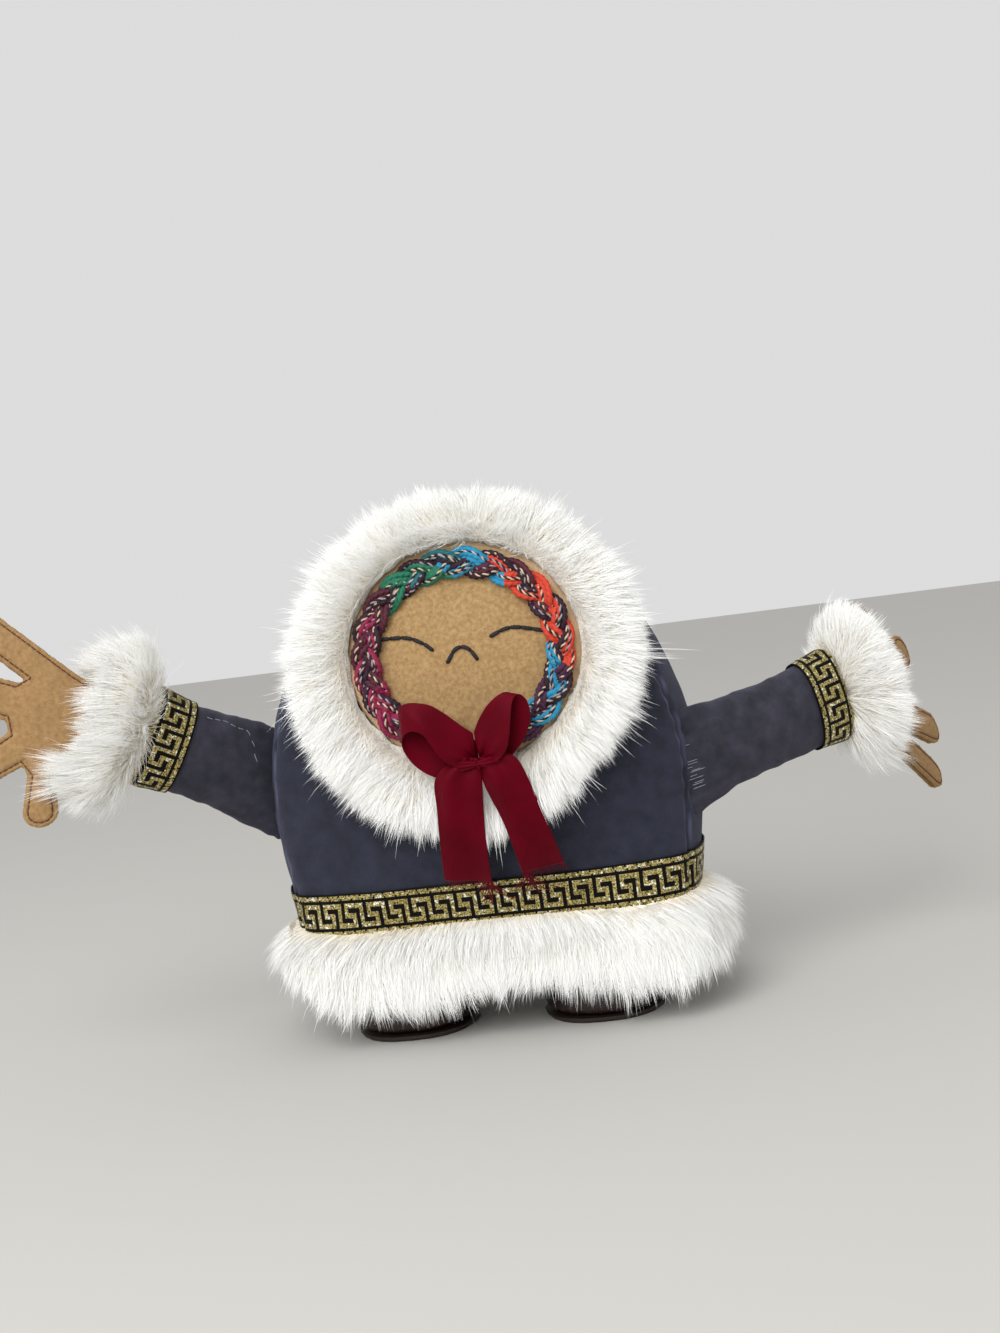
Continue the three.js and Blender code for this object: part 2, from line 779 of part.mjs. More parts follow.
// The outline of a hand: wrist, palm and digits
function handShape(droop) {
  const shape = new THREE.Shape();
  const wrist = wristWidth / 2;
  const bend = THREE.MathUtils.degToRad(droop);
  const hang = ([x, y]) => {
    const p = new THREE.Vector2(x, y).rotateAround(new THREE.Vector2(palmStart, 0), bend);
    return [p.x, p.y];
  };
  shape.moveTo(0, -wrist);
  shape.lineTo(0, wrist);
  shape.lineTo(palmStart, wrist);
  shape.quadraticCurveTo(...hang([palmWidens, wrist + palmTopEase]), ...hang(palmShoulder));
  digits.forEach((digit) => {
    const angle = THREE.MathUtils.degToRad(digit.angle) + bend;
    const half = digit.width / 2;
    const run = digit.length - half;
    const base = hang(digit.base);
    const side = (sign) => [
      base[0] - sign * half * Math.sin(angle),
      base[1] + sign * half * Math.cos(angle),
    ];
    const tip = [base[0] + run * Math.cos(angle), base[1] + run * Math.sin(angle)];
    shape.lineTo(...side(1));
    shape.absarc(tip[0], tip[1], half, angle + Math.PI / 2, angle - Math.PI / 2, true);
    shape.lineTo(...side(-1));
  });
  shape.quadraticCurveTo(...hang([palmWidens, -wrist - palmThumbEase]), palmStart, -wrist);
  shape.closePath();
  return shape;
}

// One felt layer of a hand, in front of or behind the middle
function handLayer(arm, layer) {
  const geometry = new THREE.ExtrudeGeometry(handShape(arm.droop * arm.thumb * -1), {
    depth: handFelt,
    curveSegments: 5,
    bevelEnabled: false,
  });
  // The shape lies in x and y with its depth along z: it is turned so that its depth runs along the doll's Y
  geometry.translate(0, 0, layer < 0 ? -handFelt - gap / 2 : gap / 2);
  geometry.rotateX(arm.thumb > 0 ? -Math.PI / 2 : Math.PI / 2);
  return geometry;
}

function buildArm(arm) {
  const group = new THREE.Group();
  group.position.set(arm.side * shoulderAxis(arm), -shoulderForward, arm.height);
  group.rotation.z = THREE.MathUtils.degToRad(arm.side * -arm.swing);
  add(group, `sleeve_${arm.name}`, sleeveSolid(arm), look.velvet());
  add(group, `sleeve_stuffing_${arm.name}`, sleeveStuffing(arm), look.stuffing());
  add(group, `cuff_trim_${arm.name}`, cuffTrim(arm), look.trim());
  add(group, `cuff_fur_${arm.name}`, cuffFur(arm), look.fur());

  const wrist = wristFrame(arm);
  const hand = new THREE.Group();
  hand.position.copy(wrist.at);
  const bend = THREE.MathUtils.degToRad(arm.side * -arm.wrist);
  const basis = new THREE.Matrix4().makeBasis(wrist.along, new THREE.Vector3(0, arm.side, 0), wrist.across);
  hand.quaternion.setFromRotationMatrix(basis);
  hand.quaternion.premultiply(new THREE.Quaternion().setFromAxisAngle(wrist.across, bend));
  add(hand, `hand_front_${arm.name}`, handLayer(arm, -1), look.handFelt());
  add(hand, `hand_back_${arm.name}`, handLayer(arm, 1), look.handFelt());
  group.add(hand);
  doll.add(group);
}

// Assembly
const sideStart = outline.findIndex((p) => p.z > bodyBottom + hemCorner);
const sideEnd = outline.length - sideStart;

add(doll, 'body_stuffing', stuffing(), look.stuffing());
add(doll, 'parka_front', panel(-1), look.velvet());
add(doll, 'parka_back', panel(1), look.velvet());
add(doll, 'parka_gusset', strip(sideStart, sideEnd), look.velvet());
add(doll, 'parka_base', strip(sideEnd - outline.length, sideStart), look.velvet());
add(doll, 'hem_trim', hemTrim(), look.trim());
add(doll, 'hem_fur', hemFur(), look.fur());
add(doll, 'hood_ruff', hoodRuff(), look.fur());
add(doll, 'face_felt', faceDisc(), look.faceFelt());

const braidColours = [0x8a1c58, 0x1f7a60, 0xd8563a];
const braidRadius = strandRadius();
phases.forEach((phase, i) => {
  const strand = new BraidStrand(phase, braidRadius);
  const solid = tube(strand, braidRadius, 8 * braidPeriods, 6);
  add(doll, `braid_strand_${i + 1}`, solid, finish(braidColours[i], 0.6));
});

add(doll, 'eye_stitch_left', embroidery(eyeLeft), look.floss());
add(doll, 'eye_stitch_right', embroidery(eyeRight), look.floss());
add(doll, 'mouth_stitch', embroidery(mouth), look.floss());

add(doll, 'bow_knot', bowKnot(), look.ribbon());
add(doll, 'bow_loop_left', bowLoop(-1), look.ribbon());
add(doll, 'bow_loop_right', bowLoop(1), look.ribbon());
add(doll, 'bow_tail_left', bowTail(tailPlans.left), look.ribbon());
add(doll, 'bow_tail_right', bowTail(tailPlans.right), look.ribbon());

[['left', -1], ['right', 1]].forEach(([name, side]) => {
  add(doll, `boot_${name}`, bootUpper(side), look.leather());
  add(doll, `boot_sole_${name}`, bootSole(side), look.sole());
});

arms.forEach(buildArm);

// The origin is the middle of the floor that the doll covers
const cover = new THREE.Box3().setFromObject(doll, true);
doll.position.set(-(cover.min.x + cover.max.x) / 2, -(cover.min.y + cover.max.y) / 2, 0);

export default doll;
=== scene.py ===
import json
import math

import bmesh
import bpy
import numpy as np
from mathutils import Matrix, Vector
from mathutils.bvhtree import BVHTree


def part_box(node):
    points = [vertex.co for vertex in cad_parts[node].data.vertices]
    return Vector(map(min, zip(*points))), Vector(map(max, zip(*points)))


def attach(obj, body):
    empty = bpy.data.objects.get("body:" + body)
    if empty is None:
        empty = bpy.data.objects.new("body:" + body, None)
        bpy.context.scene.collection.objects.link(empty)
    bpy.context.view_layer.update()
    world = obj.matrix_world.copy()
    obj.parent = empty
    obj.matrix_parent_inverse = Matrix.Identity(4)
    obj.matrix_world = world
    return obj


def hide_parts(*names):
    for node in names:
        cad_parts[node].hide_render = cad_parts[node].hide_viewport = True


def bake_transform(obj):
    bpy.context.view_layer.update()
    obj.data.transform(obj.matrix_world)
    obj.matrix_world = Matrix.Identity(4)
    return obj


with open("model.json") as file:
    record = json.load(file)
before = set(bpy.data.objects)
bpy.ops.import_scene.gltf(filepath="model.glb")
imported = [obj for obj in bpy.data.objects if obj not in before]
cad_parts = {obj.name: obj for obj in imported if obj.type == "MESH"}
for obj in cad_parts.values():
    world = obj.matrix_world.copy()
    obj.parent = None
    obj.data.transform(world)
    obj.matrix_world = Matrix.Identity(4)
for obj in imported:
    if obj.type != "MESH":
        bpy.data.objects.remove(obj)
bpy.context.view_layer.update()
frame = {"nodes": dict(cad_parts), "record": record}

MM = 0.001

# The doll's middle plane, and the photo's camera: a little to one side of it, with the picture rolled
low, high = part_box("body_stuffing")
middle = Vector(((low.x + high.x) / 2, (low.y + high.y) / 2, 0))
photo_width = 1000
photo_axes = []


def make_camera():
    """The photo's camera; photo_axes gets its ways right and up."""
    data = bpy.data.cameras.new("photo_camera")
    camera = bpy.data.objects.new("photo_camera", data)
    bpy.context.scene.collection.objects.link(camera)
    focal_pixels = 1706
    sensor_mm = 36
    azimuth = math.radians(7)
    distance = 0.646
    height = 0.185
    aim = Vector((0.0115, 0, 0.1318))
    roll = math.radians(7.7)
    right = Vector((math.cos(azimuth), math.sin(azimuth), 0))
    ahead = Vector((-math.sin(azimuth), math.cos(azimuth), 0))
    target = middle + right * aim.x + Vector((0, 0, aim.z))
    eye = target - ahead * distance
    eye.z = height
    look = (target - eye).normalized()
    up = Vector((0, 0, 1))
    side = look.cross(up).normalized()
    up = side.cross(look)
    turn = Matrix.Rotation(roll, 3, look)
    side, up = turn @ side, turn @ up
    camera.matrix_world = Matrix((
        (side.x, up.x, -look.x, eye.x),
        (side.y, up.y, -look.y, eye.y),
        (side.z, up.z, -look.z, eye.z),
        (0, 0, 0, 1),
    ))
    data.sensor_fit = "HORIZONTAL"
    data.sensor_width = sensor_mm
    data.lens = sensor_mm * focal_pixels / photo_width
    photo_axes.extend([np.array(side), np.array(up)])
    data.clip_start = 0.01
    bpy.context.scene.camera = camera


# Helpers for pieces

def modify(obj, kind, **settings):
    """Adds a modifier to a piece and applies it."""
    modifier = obj.modifiers.new(kind.lower(), kind)
    for key, value in settings.items():
        setattr(modifier, key, value)
    apply_modifier(obj, modifier)


def apply_modifier(obj, modifier):
    for other in bpy.context.selected_objects:
        other.select_set(False)
    obj.select_set(True)
    bpy.context.view_layer.objects.active = obj
    bpy.ops.object.modifier_apply(modifier=modifier.name)


def link(name, mesh):
    obj = bpy.data.objects.new(name, mesh)
    bpy.context.scene.collection.objects.link(obj)
    mesh.polygons.foreach_set("use_smooth", [True] * len(mesh.polygons))
    return obj


def face_mesh(name, points, faces):
    mesh = bpy.data.meshes.new(name)
    mesh.from_pydata(np.asarray(points, dtype=float).reshape(-1, 3).tolist(), [], faces)
    mesh.update()
    return mesh


def grid_mesh(name, rows):
    """A surface through a grid of points, rows x columns x 3."""
    across = len(rows[0])
    faces = []
    for i in range(len(rows) - 1):
        for a in range(i * across, (i + 1) * across - 1):
            faces.append((a, a + 1, a + across + 1, a + across))
    return face_mesh(name, rows, faces)


def triangle_mesh(name, points, triangles):
    mesh = bpy.data.meshes.new(name)
    mesh.vertices.add(len(points))
    mesh.vertices.foreach_set("co", np.asarray(points, dtype=np.float32).ravel())
    mesh.loops.add(triangles.size)
    mesh.loops.foreach_set("vertex_index", triangles.astype(np.int32).ravel())
    mesh.polygons.add(len(triangles))
    mesh.polygons.foreach_set("loop_start", np.arange(0, triangles.size, 3, dtype=np.int32))
    mesh.update(calc_edges=True)
    return mesh


def vectors_of(mesh, kind):
    flat = np.empty(len(mesh.vertices) * 3)
    mesh.vertices.foreach_get(kind, flat)
    return flat.reshape(-1, 3)


def coordinates(mesh):
    return vectors_of(mesh, "co")


def normals_of(mesh):
    return vectors_of(mesh, "normal")


def set_coordinates(mesh, points):
    mesh.vertices.foreach_set("co", np.asarray(points).ravel())
    mesh.update()


def point_values(mesh, name, values):
    stored = mesh.attributes.new(name, "FLOAT", "POINT")
    stored.data.foreach_set("value", np.asarray(values, dtype=np.float32))


def recalculate(mesh):
    shape = bmesh.new()
    shape.from_mesh(mesh)
    bmesh.ops.recalc_face_normals(shape, faces=shape.faces)
    shape.to_mesh(mesh)
    shape.free()


def joined_copy(name, nodes):
    """One object with a merged copy of the CAD nodes' meshes."""
    shape = bmesh.new()
    for node in nodes:
        shape.from_mesh(frame["nodes"][node].data)
    bmesh.ops.remove_doubles(shape, verts=shape.verts, dist=1e-6)
    bmesh.ops.recalc_face_normals(shape, faces=shape.faces)
    mesh = bpy.data.meshes.new(name)
    shape.to_mesh(mesh)
    shape.free()
    return link(name, mesh)


def remesh(obj, size):
    modify(obj, "REMESH", mode="VOXEL", voxel_size=size)


def smooth(obj, times):
    modify(obj, "SMOOTH", iterations=times, factor=0.5)


def thicken(obj, thickness, offset=-1):
    modify(obj, "SOLIDIFY", thickness=thickness, offset=offset)


def subdivide(obj, levels=1):
    modify(obj, "SUBSURF", levels=levels, render_levels=levels)


def keep_largest(obj):
    """Leaves only the biggest connected part of a mesh."""
    shape = bmesh.new()
    shape.from_mesh(obj.data)
    seen = set()
    islands = []
    for start in shape.verts:
        if start in seen:
            continue
        stack, island = [start], []
        seen.add(start)
        while stack:
            vertex = stack.pop()
            island.append(vertex)
            for edge in vertex.link_edges:
                other = edge.other_vert(vertex)
                if other not in seen:
                    seen.add(other)
                    stack.append(other)
        islands.append(island)
    islands.sort(key=len)
    for island in islands[:-1]:
        bmesh.ops.delete(shape, geom=island, context="VERTS")
    shape.to_mesh(obj.data)
    shape.free()


def inflate(obj, pressure, held, most):
    """Lets the cloth fill like a stuffed bag: held is each point's grip, and most the longest move."""
    before = coordinates(obj.data)
    group = obj.vertex_groups.new(name="held")
    for index, weight in enumerate(held):
        if weight > 0.01:
            group.add([index], float(weight), "REPLACE")
    modifier = obj.modifiers.new("cloth", "CLOTH")
    settings = modifier.settings
    settings.quality = 4
    settings.mass = 0.2
    settings.tension_stiffness = 12
    settings.compression_stiffness = 12
    settings.shear_stiffness = 6
    settings.bending_stiffness = 0.3
    settings.use_pressure = True
    settings.uniform_pressure_force = pressure
    settings.effector_weights.gravity = 0
    settings.vertex_group_mass = group.name
    steps = 20
    modifier.point_cache.frame_start = 1
    modifier.point_cache.frame_end = steps
    for step in range(1, steps + 1):
        bpy.context.scene.frame_set(step)
    apply_modifier(obj, modifier)
    bpy.context.scene.frame_set(1)
    obj.vertex_groups.clear()
    moved = coordinates(obj.data) - before
    length = np.linalg.norm(moved, axis=1, keepdims=True)
    set_coordinates(obj.data, before + moved * np.minimum(1, most / np.maximum(length, 1e-9)))


def unit(vectors):
    return vectors / np.maximum(np.linalg.norm(vectors, axis=1, keepdims=True), 1e-9)


def distances_along(path):
    """How far along a path each of its points lies."""
    return np.concatenate([[0], np.cumsum(np.linalg.norm(np.diff(path, axis=0), axis=1))])


def places_along(places, travelled, path):
    """The points that lie at given distances along a path."""
    return np.stack([np.interp(places, travelled, path[:, axis]) for axis in range(3)], axis=-1)


def wave(points, scale, seed):
    """Smooth made-up noise at many points: a sum of sines in turned directions, from -1 to 1."""
    turns = np.random.default_rng(seed)
    total = np.zeros(len(points))
    for _ in range(6):
        direction = turns.normal(size=3)
        direction /= np.linalg.norm(direction)
        pitch = scale * turns.uniform(0.7, 1.5)
        total += np.sin(2 * math.pi * (points @ direction) / pitch + turns.uniform(0, 2 * math.pi))
    return total / 3.5


# Materials

def material(name, build):
    made = bpy.data.materials.new(name)
    made.use_nodes = True
    tree = made.node_tree
    shader = tree.nodes["Principled BSDF"]
    build(tree, shader)
    return made


def add_node(tree, kind, **settings):
    made = tree.nodes.new(kind)
    for key, value in settings.items():
        setattr(made, key, value)
    return made


def attribute(tree, name):
    return add_node(tree, "ShaderNodeAttribute", attribute_name=name).outputs


def grain_group():
    """Two sizes of noise at a place, for mottling and for bumps: one group that every material shares."""
    group = bpy.data.node_groups.new("grain", "ShaderNodeTree")
    sockets = [
        ("Vector", "INPUT", "Vector"), ("Broad scale", "INPUT", "Float"), ("Fine scale", "INPUT", "Float"),
        ("Broad", "OUTPUT", "Float"), ("Fine", "OUTPUT", "Float"),
    ]
    for name, way, kind in sockets:
        group.interface.new_socket(name=name, in_out=way, socket_type=f"NodeSocket{kind}")
    start = group.nodes.new("NodeGroupInput")
    end = group.nodes.new("NodeGroupOutput")
    for output, size in (("Broad", "Broad scale"), ("Fine", "Fine scale")):
        noise = add_node(group, "ShaderNodeTexNoise")
        noise.inputs["Detail"].default_value = 3
        noise.inputs["Roughness"].default_value = 0.6
        group.links.new(start.outputs["Vector"], noise.inputs["Vector"])
        group.links.new(start.outputs[size], noise.inputs["Scale"])
        group.links.new(noise.outputs["Fac"], end.inputs[output])
    return group


grain = grain_group()


def keep_place(obj):
    """Stores each point's rest place, so that a pattern stays on the piece."""
    stored = obj.data.attributes.new("place", "FLOAT_VECTOR", "POINT")
    stored.data.foreach_set("vector", coordinates(obj.data).astype(np.float32).ravel())


def mix_colour(tree, factor, a, b):
    mix = add_node(tree, "ShaderNodeMix", data_type="RGBA")
    for socket, value in ((6, a), (7, b)):
        if isinstance(value, tuple):
            mix.inputs[socket].default_value = (*value, 1)
        else:
            tree.links.new(value, mix.inputs[socket])
    tree.links.new(factor, mix.inputs[0])
    return mix.outputs[2]


def ramp(tree, source, low_at, high_at):
    spread = add_node(tree, "ShaderNodeMapRange")
    spread.inputs["From Min"].default_value = low_at
    spread.inputs["From Max"].default_value = high_at
    tree.links.new(source, spread.inputs["Value"])
    return spread.outputs["Result"]


def grained(tree, broad, fine):
    node = add_node(tree, "ShaderNodeGroup")
    node.node_tree = grain
    node.inputs["Broad scale"].default_value = broad
    node.inputs["Fine scale"].default_value = fine
    tree.links.new(attribute(tree, "place")["Vector"], node.inputs["Vector"])
    return node.outputs["Broad"], node.outputs["Fine"]


def bumped(tree, shader, height, distance):
    bump = add_node(tree, "ShaderNodeBump")
    bump.inputs["Distance"].default_value = distance
    bump.inputs["Strength"].default_value = 1
    tree.links.new(height, bump.inputs["Height"])
    tree.links.new(bump.outputs["Normal"], shader.inputs["Normal"])


def srgb(red, green, blue):
    def linear(value):
        value /= 255
        return value / 12.92 if value <= 0.04045 else ((value + 0.055) / 1.055) ** 2.4
    return (linear(red), linear(green), linear(blue))


def painted(tree, shader, colour, constants):
    tree.links.new(colour, shader.inputs["Base Color"])
    for name, value in constants.items():
        shader.inputs[name].default_value = value


def sheen(weight, tint):
    return {"Sheen Weight": weight, "Sheen Roughness": 0.35, "Sheen Tint": (*tint, 1)}


def cloth_material(name, dark, light, broad, fine, bump, rough=0.9, others=None, wear_and_highlight=None):
    """Mottled from dark to light by the broad noise, and raised by the fine one."""
    def build(tree, shader):
        large, small = grained(tree, broad, fine)
        colour = mix_colour(tree, ramp(tree, large, 0.3, 0.7), dark, light)
        # A lighter colour mixed in by the worn attribute: on the velvet's seams partly real wear and partly a
        # painted highlight, on the face felt's rim only a painted highlight
        if wear_and_highlight:
            colour = mix_colour(tree, attribute(tree, "wear_and_highlight")["Fac"], colour, wear_and_highlight)
        painted(tree, shader, colour, {"Roughness": rough, **(others or {})})
        bumped(tree, shader, small, bump)
    return material(name, build)


# The velvet's lighter seam colour is partly wear and partly a painted highlight
velvet_look = cloth_material(
    "velvet", srgb(24, 27, 42), srgb(40, 43, 62), 140, 2600, 0.0004,
    rough=0.85, others=sheen(0.32, srgb(150, 152, 180)), wear_and_highlight=srgb(90, 92, 118),
)
sleeve_look = cloth_material(
    "sleeve velvet", srgb(28, 28, 40), srgb(56, 55, 70), 140, 2600, 0.0004,
    rough=0.85, others=sheen(0.34, srgb(160, 158, 182)),
)
filling_look = cloth_material("filling", srgb(220, 218, 210), srgb(238, 236, 228), 200, 1500, 0.001)
# The face felt's lighter rim colour is a painted highlight
face_look = cloth_material(
    "face felt", srgb(170, 132, 84), srgb(206, 170, 118), 700, 3200, 0.0007, wear_and_highlight=srgb(250, 214, 168),
)
hand_look = cloth_material("hand felt", srgb(158, 120, 76), srgb(182, 146, 98), 600, 3200, 0.0005)
floss_look = cloth_material("floss", srgb(18, 16, 20), srgb(32, 28, 34), 900, 4000, 0.0002, 0.7)
topstitch_look = cloth_material("topstitch", srgb(84, 48, 28), srgb(112, 66, 40), 900, 4000, 0.0002, 0.7)
gather_look = cloth_material(
    "gather thread", srgb(140, 142, 162), srgb(172, 174, 192), 900, 4000, 0.0001, 0.7,
)
leather_look = cloth_material("boot leather", srgb(24, 8, 7), srgb(38, 13, 11), 120, 1400, 0.0003, 0.38)
sole_look = cloth_material("boot sole edge", srgb(26, 14, 10), srgb(40, 24, 18), 160, 1400, 0.0003, 0.6)
pelt_look = cloth_material("fur pelt", srgb(246, 238, 220), srgb(252, 248, 240), 400, 1600, 0.0015)
ribbon_look = cloth_material(
    "ribbon", srgb(76, 0, 12), srgb(92, 0, 20), 60, 2600, 0.0001,
    rough=0.5, others={"Specular IOR Level": 0.25, "Specular Tint": (*srgb(255, 120, 140), 1)},
)


def fur_material():
    def build(tree, shader):
        along, shade, warm = (attribute(tree, name)["Fac"] for name in ("along", "shade", "warm"))
        white = mix_colour(tree, shade, srgb(249, 249, 246), srgb(255, 255, 254))
        tip = mix_colour(tree, warm, white, srgb(250, 240, 222))
        root = mix_colour(tree, warm, srgb(248, 240, 222), srgb(226, 196, 152))
        colour = mix_colour(tree, ramp(tree, along, 0.0, 0.5), root, tip)
        # The fur glows faintly in its own colour: painted light that lifts the shade between the hairs
        painted(tree, shader, colour, {"Emission Strength": 0.04, "Roughness": 0.55, "Sheen Weight": 0.2})
        tree.links.new(colour, shader.inputs["Emission Color"])
    return material("fur", build)


def trim_material():
    def build(tree, shader):
        gold = attribute(tree, "gold")["Fac"]
        large, small = grained(tree, 700, 1800)
        thread = mix_colour(tree, ramp(tree, small, 0.38, 0.66), srgb(58, 48, 20), srgb(222, 204, 132))
        # Near-white specks over the gold thread are painted glints
        thread = mix_colour(tree, ramp(tree, large, 0.58, 0.64), thread, srgb(255, 254, 240))
        painted(tree, shader, mix_colour(tree, gold, srgb(9, 7, 6), thread), {
            "Roughness": 0.45,
            "Specular IOR Level": 0.1,
        })
        metal = add_node(tree, "ShaderNodeMath", operation="MULTIPLY")
        metal.inputs[1].default_value = 0.75
        tree.links.new(gold, metal.inputs[0])
        tree.links.new(metal.outputs["Value"], shader.inputs["Metallic"])
        bumped(tree, shader, small, 0.0003)
    return material("woven trim", build)


def cord_material():
    def build(tree, shader):
        tint = attribute(tree, "tint")
        _, small = grained(tree, 300, 2400)
        darker = mix_colour(tree, ramp(tree, small, 0.2, 0.8), (0.62, 0.62, 0.62), (1.0, 1.0, 1.0))
        mix = add_node(tree, "ShaderNodeMix", data_type="RGBA", blend_type="MULTIPLY")
        mix.inputs[0].default_value = 1
        tree.links.new(tint["Color"], mix.inputs[6])
        tree.links.new(darker, mix.inputs[7])
        painted(tree, shader, mix.outputs[2], {"Roughness": 0.6})
        tree.links.new(tint["Alpha"], shader.inputs["Metallic"])
        bumped(tree, shader, small, 0.0003)
    return material("braid cord", build)


fur_look = fur_material()
trim_look = trim_material()
cord_look = cord_material()


def dress(obj, look, body, replaced=()):
    keep_place(obj)
    obj.data.materials.clear()
    obj.data.materials.append(look)
    if body:
        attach(obj, body)
    if replaced:
        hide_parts(*replaced)
    return obj


# Body

front_seam_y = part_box("parka_front")[1].y
back_seam_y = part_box("parka_back")[0].y


def seam_points(node, edge_y):
    """The rim of a body panel, in order round it, as a closed line."""
    points = coordinates(frame["nodes"][node].data)
    rim = points[np.abs(points[:, 1] - edge_y) < 1e-4]
    rim = np.unique(rim.round(5), axis=0)
    centre = rim.mean(axis=0)
    far = np.hypot(rim[:, 0] - centre[0], rim[:, 2] - centre[2])
    angle = np.arctan2(rim[:, 2] - centre[2], rim[:, 0] - centre[0])
    order = np.argsort(angle)
    rim, far = rim[order], far[order]
    beside = np.maximum(np.roll(far, 1), np.roll(far, -1))
    return rim[far >= 0.995 * beside - 2e-4]


def distance_to_line(points, line):
    """Distance from each point to a closed line, and how far along it the nearest place is."""
    best = np.full(len(points), 9.0)
    place = np.zeros(len(points))
    travelled = 0.0
    for a, b in zip(line, np.roll(line, -1, axis=0)):
        run = b - a
        length = np.linalg.norm(run)
        t = np.clip((points - a) @ run / length ** 2, 0, 1)
        away = np.linalg.norm(points - (a + t[:, None] * run), axis=1)
        closer = away < best
        best[closer] = away[closer]
        place[closer] = travelled + t[closer] * length
        travelled += length
    return best, place


seam_depth = 0.0013
seam_half = 0.0016
pucker_pitch = 0.0042
stretch_reach = 0.006


def make_body():
    """The velvet: one skin over the panels, drawn in and puckered along both seams."""
    shell = ["parka_front", "parka_back", "parka_gusset", "parka_base"]
    skin = joined_copy("parka_velvet", [*shell, "body_stuffing"])
    remesh(skin, 0.004)
    keep_largest(skin)
    smooth(skin, 2)
    lines = [seam_points("parka_front", front_seam_y), seam_points("parka_back", back_seam_y)]
    points = coordinates(skin.data)
    near = np.minimum(*(distance_to_line(points, line)[0] for line in lines))
    inflate(skin, 4.0, np.exp(-(near / stretch_reach) ** 2), 0.003)
    subdivide(skin, 2)
    points = coordinates(skin.data)
    normal = normals_of(skin.data)
    push = np.zeros(len(points))
    for line, seed in zip(lines, (3, 4)):
        away, place = distance_to_line(points, line)
        push -= seam_depth * np.exp(-(away / seam_half) ** 2)
        pucker = np.sin(place / pucker_pitch * math.pi + 2 * wave(points, 0.03, seed))
        strength = 0.00035 * np.clip(wave(points, 0.05, seed + 9) + 0.6, 0, 1)
        push += strength * pucker * np.exp(-away / stretch_reach)
    push += 0.0005 * wave(points, 0.05, 21) + 0.0002 * wave(points, 0.012, 22)
    # Painted lighter along the seams: partly real wear, partly a painted highlight where the seam's edge
    # catches the light
    away = np.minimum(*(distance_to_line(points, line)[0] for line in lines))
    wear_and_highlight = np.exp(-((away - seam_half) / 0.0008) ** 2) * np.clip(0.45 + 0.8 * wave(points, 0.006, 23), 0, 1)
    point_values(skin.data, "wear_and_highlight", wear_and_highlight)
    points = points + normal * push[:, None]
    tucked = np.clip((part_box("hem_trim")[0].z - points[:, 2]) / 0.002, 0, 1) * 0.0028
    points[:, :2] -= normal[:, :2] * tucked[:, None]
    set_coordinates(skin.data, points)
    return dress(skin, velvet_look, "torso", shell)


def make_filling():
    """The stuffing inside the parka, seen only where a seam would be opened."""
    filling = joined_copy("fibre_filling", ["body_stuffing"])
    remesh(filling, 0.006)
    keep_largest(filling)
    points = coordinates(filling.data)
    lump = -0.0035 + 0.0006 * wave(points, 0.02, 31)
    set_coordinates(filling.data, points + normals_of(filling.data) * lump[:, None])
    return dress(filling, filling_look, "torso", ["body_stuffing"])


class Surface:
    """Finds places on a finished piece."""

    def __init__(self, obj):
        shape = bmesh.new()
        shape.from_mesh(obj.data)
        self.tree = BVHTree.FromBMesh(shape)
        shape.free()

    def hit(self, start, way):
        """The first place met from a start along a way, or None."""
        return self.tree.ray_cast(Vector(start), Vector(way))[0]

    def front(self, x, z):
        place = self.hit((x, -0.3, z), (0, 1, 0))
        return self.tree.find_nearest(Vector((x, -0.05, z)))[0] if place is None else place


# Face

felt_low, felt_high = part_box("face_felt")
face = Vector(((felt_low.x + felt_high.x) / 2, 0, (felt_low.z + felt_high.z) / 2))
face_wide = (felt_high.x - felt_low.x) / 2
face_tall = (felt_high.z - felt_low.z) / 2


def face_oval(inset, angle):
    return face.x + (face_wide - inset) * math.cos(angle), face.z + (face_tall - inset) * math.sin(angle)


def make_face(skin):
    """A disc of felt, gently stuffed, turned under at its sewn edge."""
    rings, around = 34, 120
    points = [[face.x, 0, face.z]]
    for i in range(1, rings + 1):
        share = (i / rings) ** 0.9
        for k in range(around):
            angle = 2 * math.pi * k / around
            across, up = share * face_wide * math.cos(angle), share * face_tall * math.sin(angle)
            points.append([face.x + across, 0, face.z + up])
    points = np.array(points)
    share = np.hypot((points[:, 0] - face.x) / face_wide, (points[:, 2] - face.z) / face_tall)
    for i, (x, _, z) in enumerate(points):
        points[i, 1] = skin.front(x, z).y
    edge = np.clip((1 - share) / 0.05, 0, 1)
    points[:, 1] -= 0.0018 + 0.0007 * np.sqrt(edge) + 0.0007 * (1 - share ** 2)
    points[:, 1] += 0.00025 * wave(points, 0.018, 41)
    faces = [(0, 1 + k, 1 + (k + 1) % around) for k in range(around)]
    for i in range(rings - 1):
        for k in range(around):
            a, b = 1 + i * around + k, 1 + i * around + (k + 1) % around
            faces.append((a, a + around, b + around, b))
    obj = link("face", face_mesh("face", points, faces))
    recalculate(obj.data)
    thicken(obj, 0.0013)
    # The felt's rim is painted lighter: a painted highlight that lifts the shade the ruff casts there
    ends = coordinates(obj.data)
    share = np.hypot((ends[:, 0] - face.x) / face_wide, (ends[:, 2] - face.z) / face_tall)
    point_values(obj.data, "wear_and_highlight", np.clip((share - 0.9) / 0.05, 0, 1))
    return dress(obj, face_look, "torso", ["face_felt"])


# Threads and cords

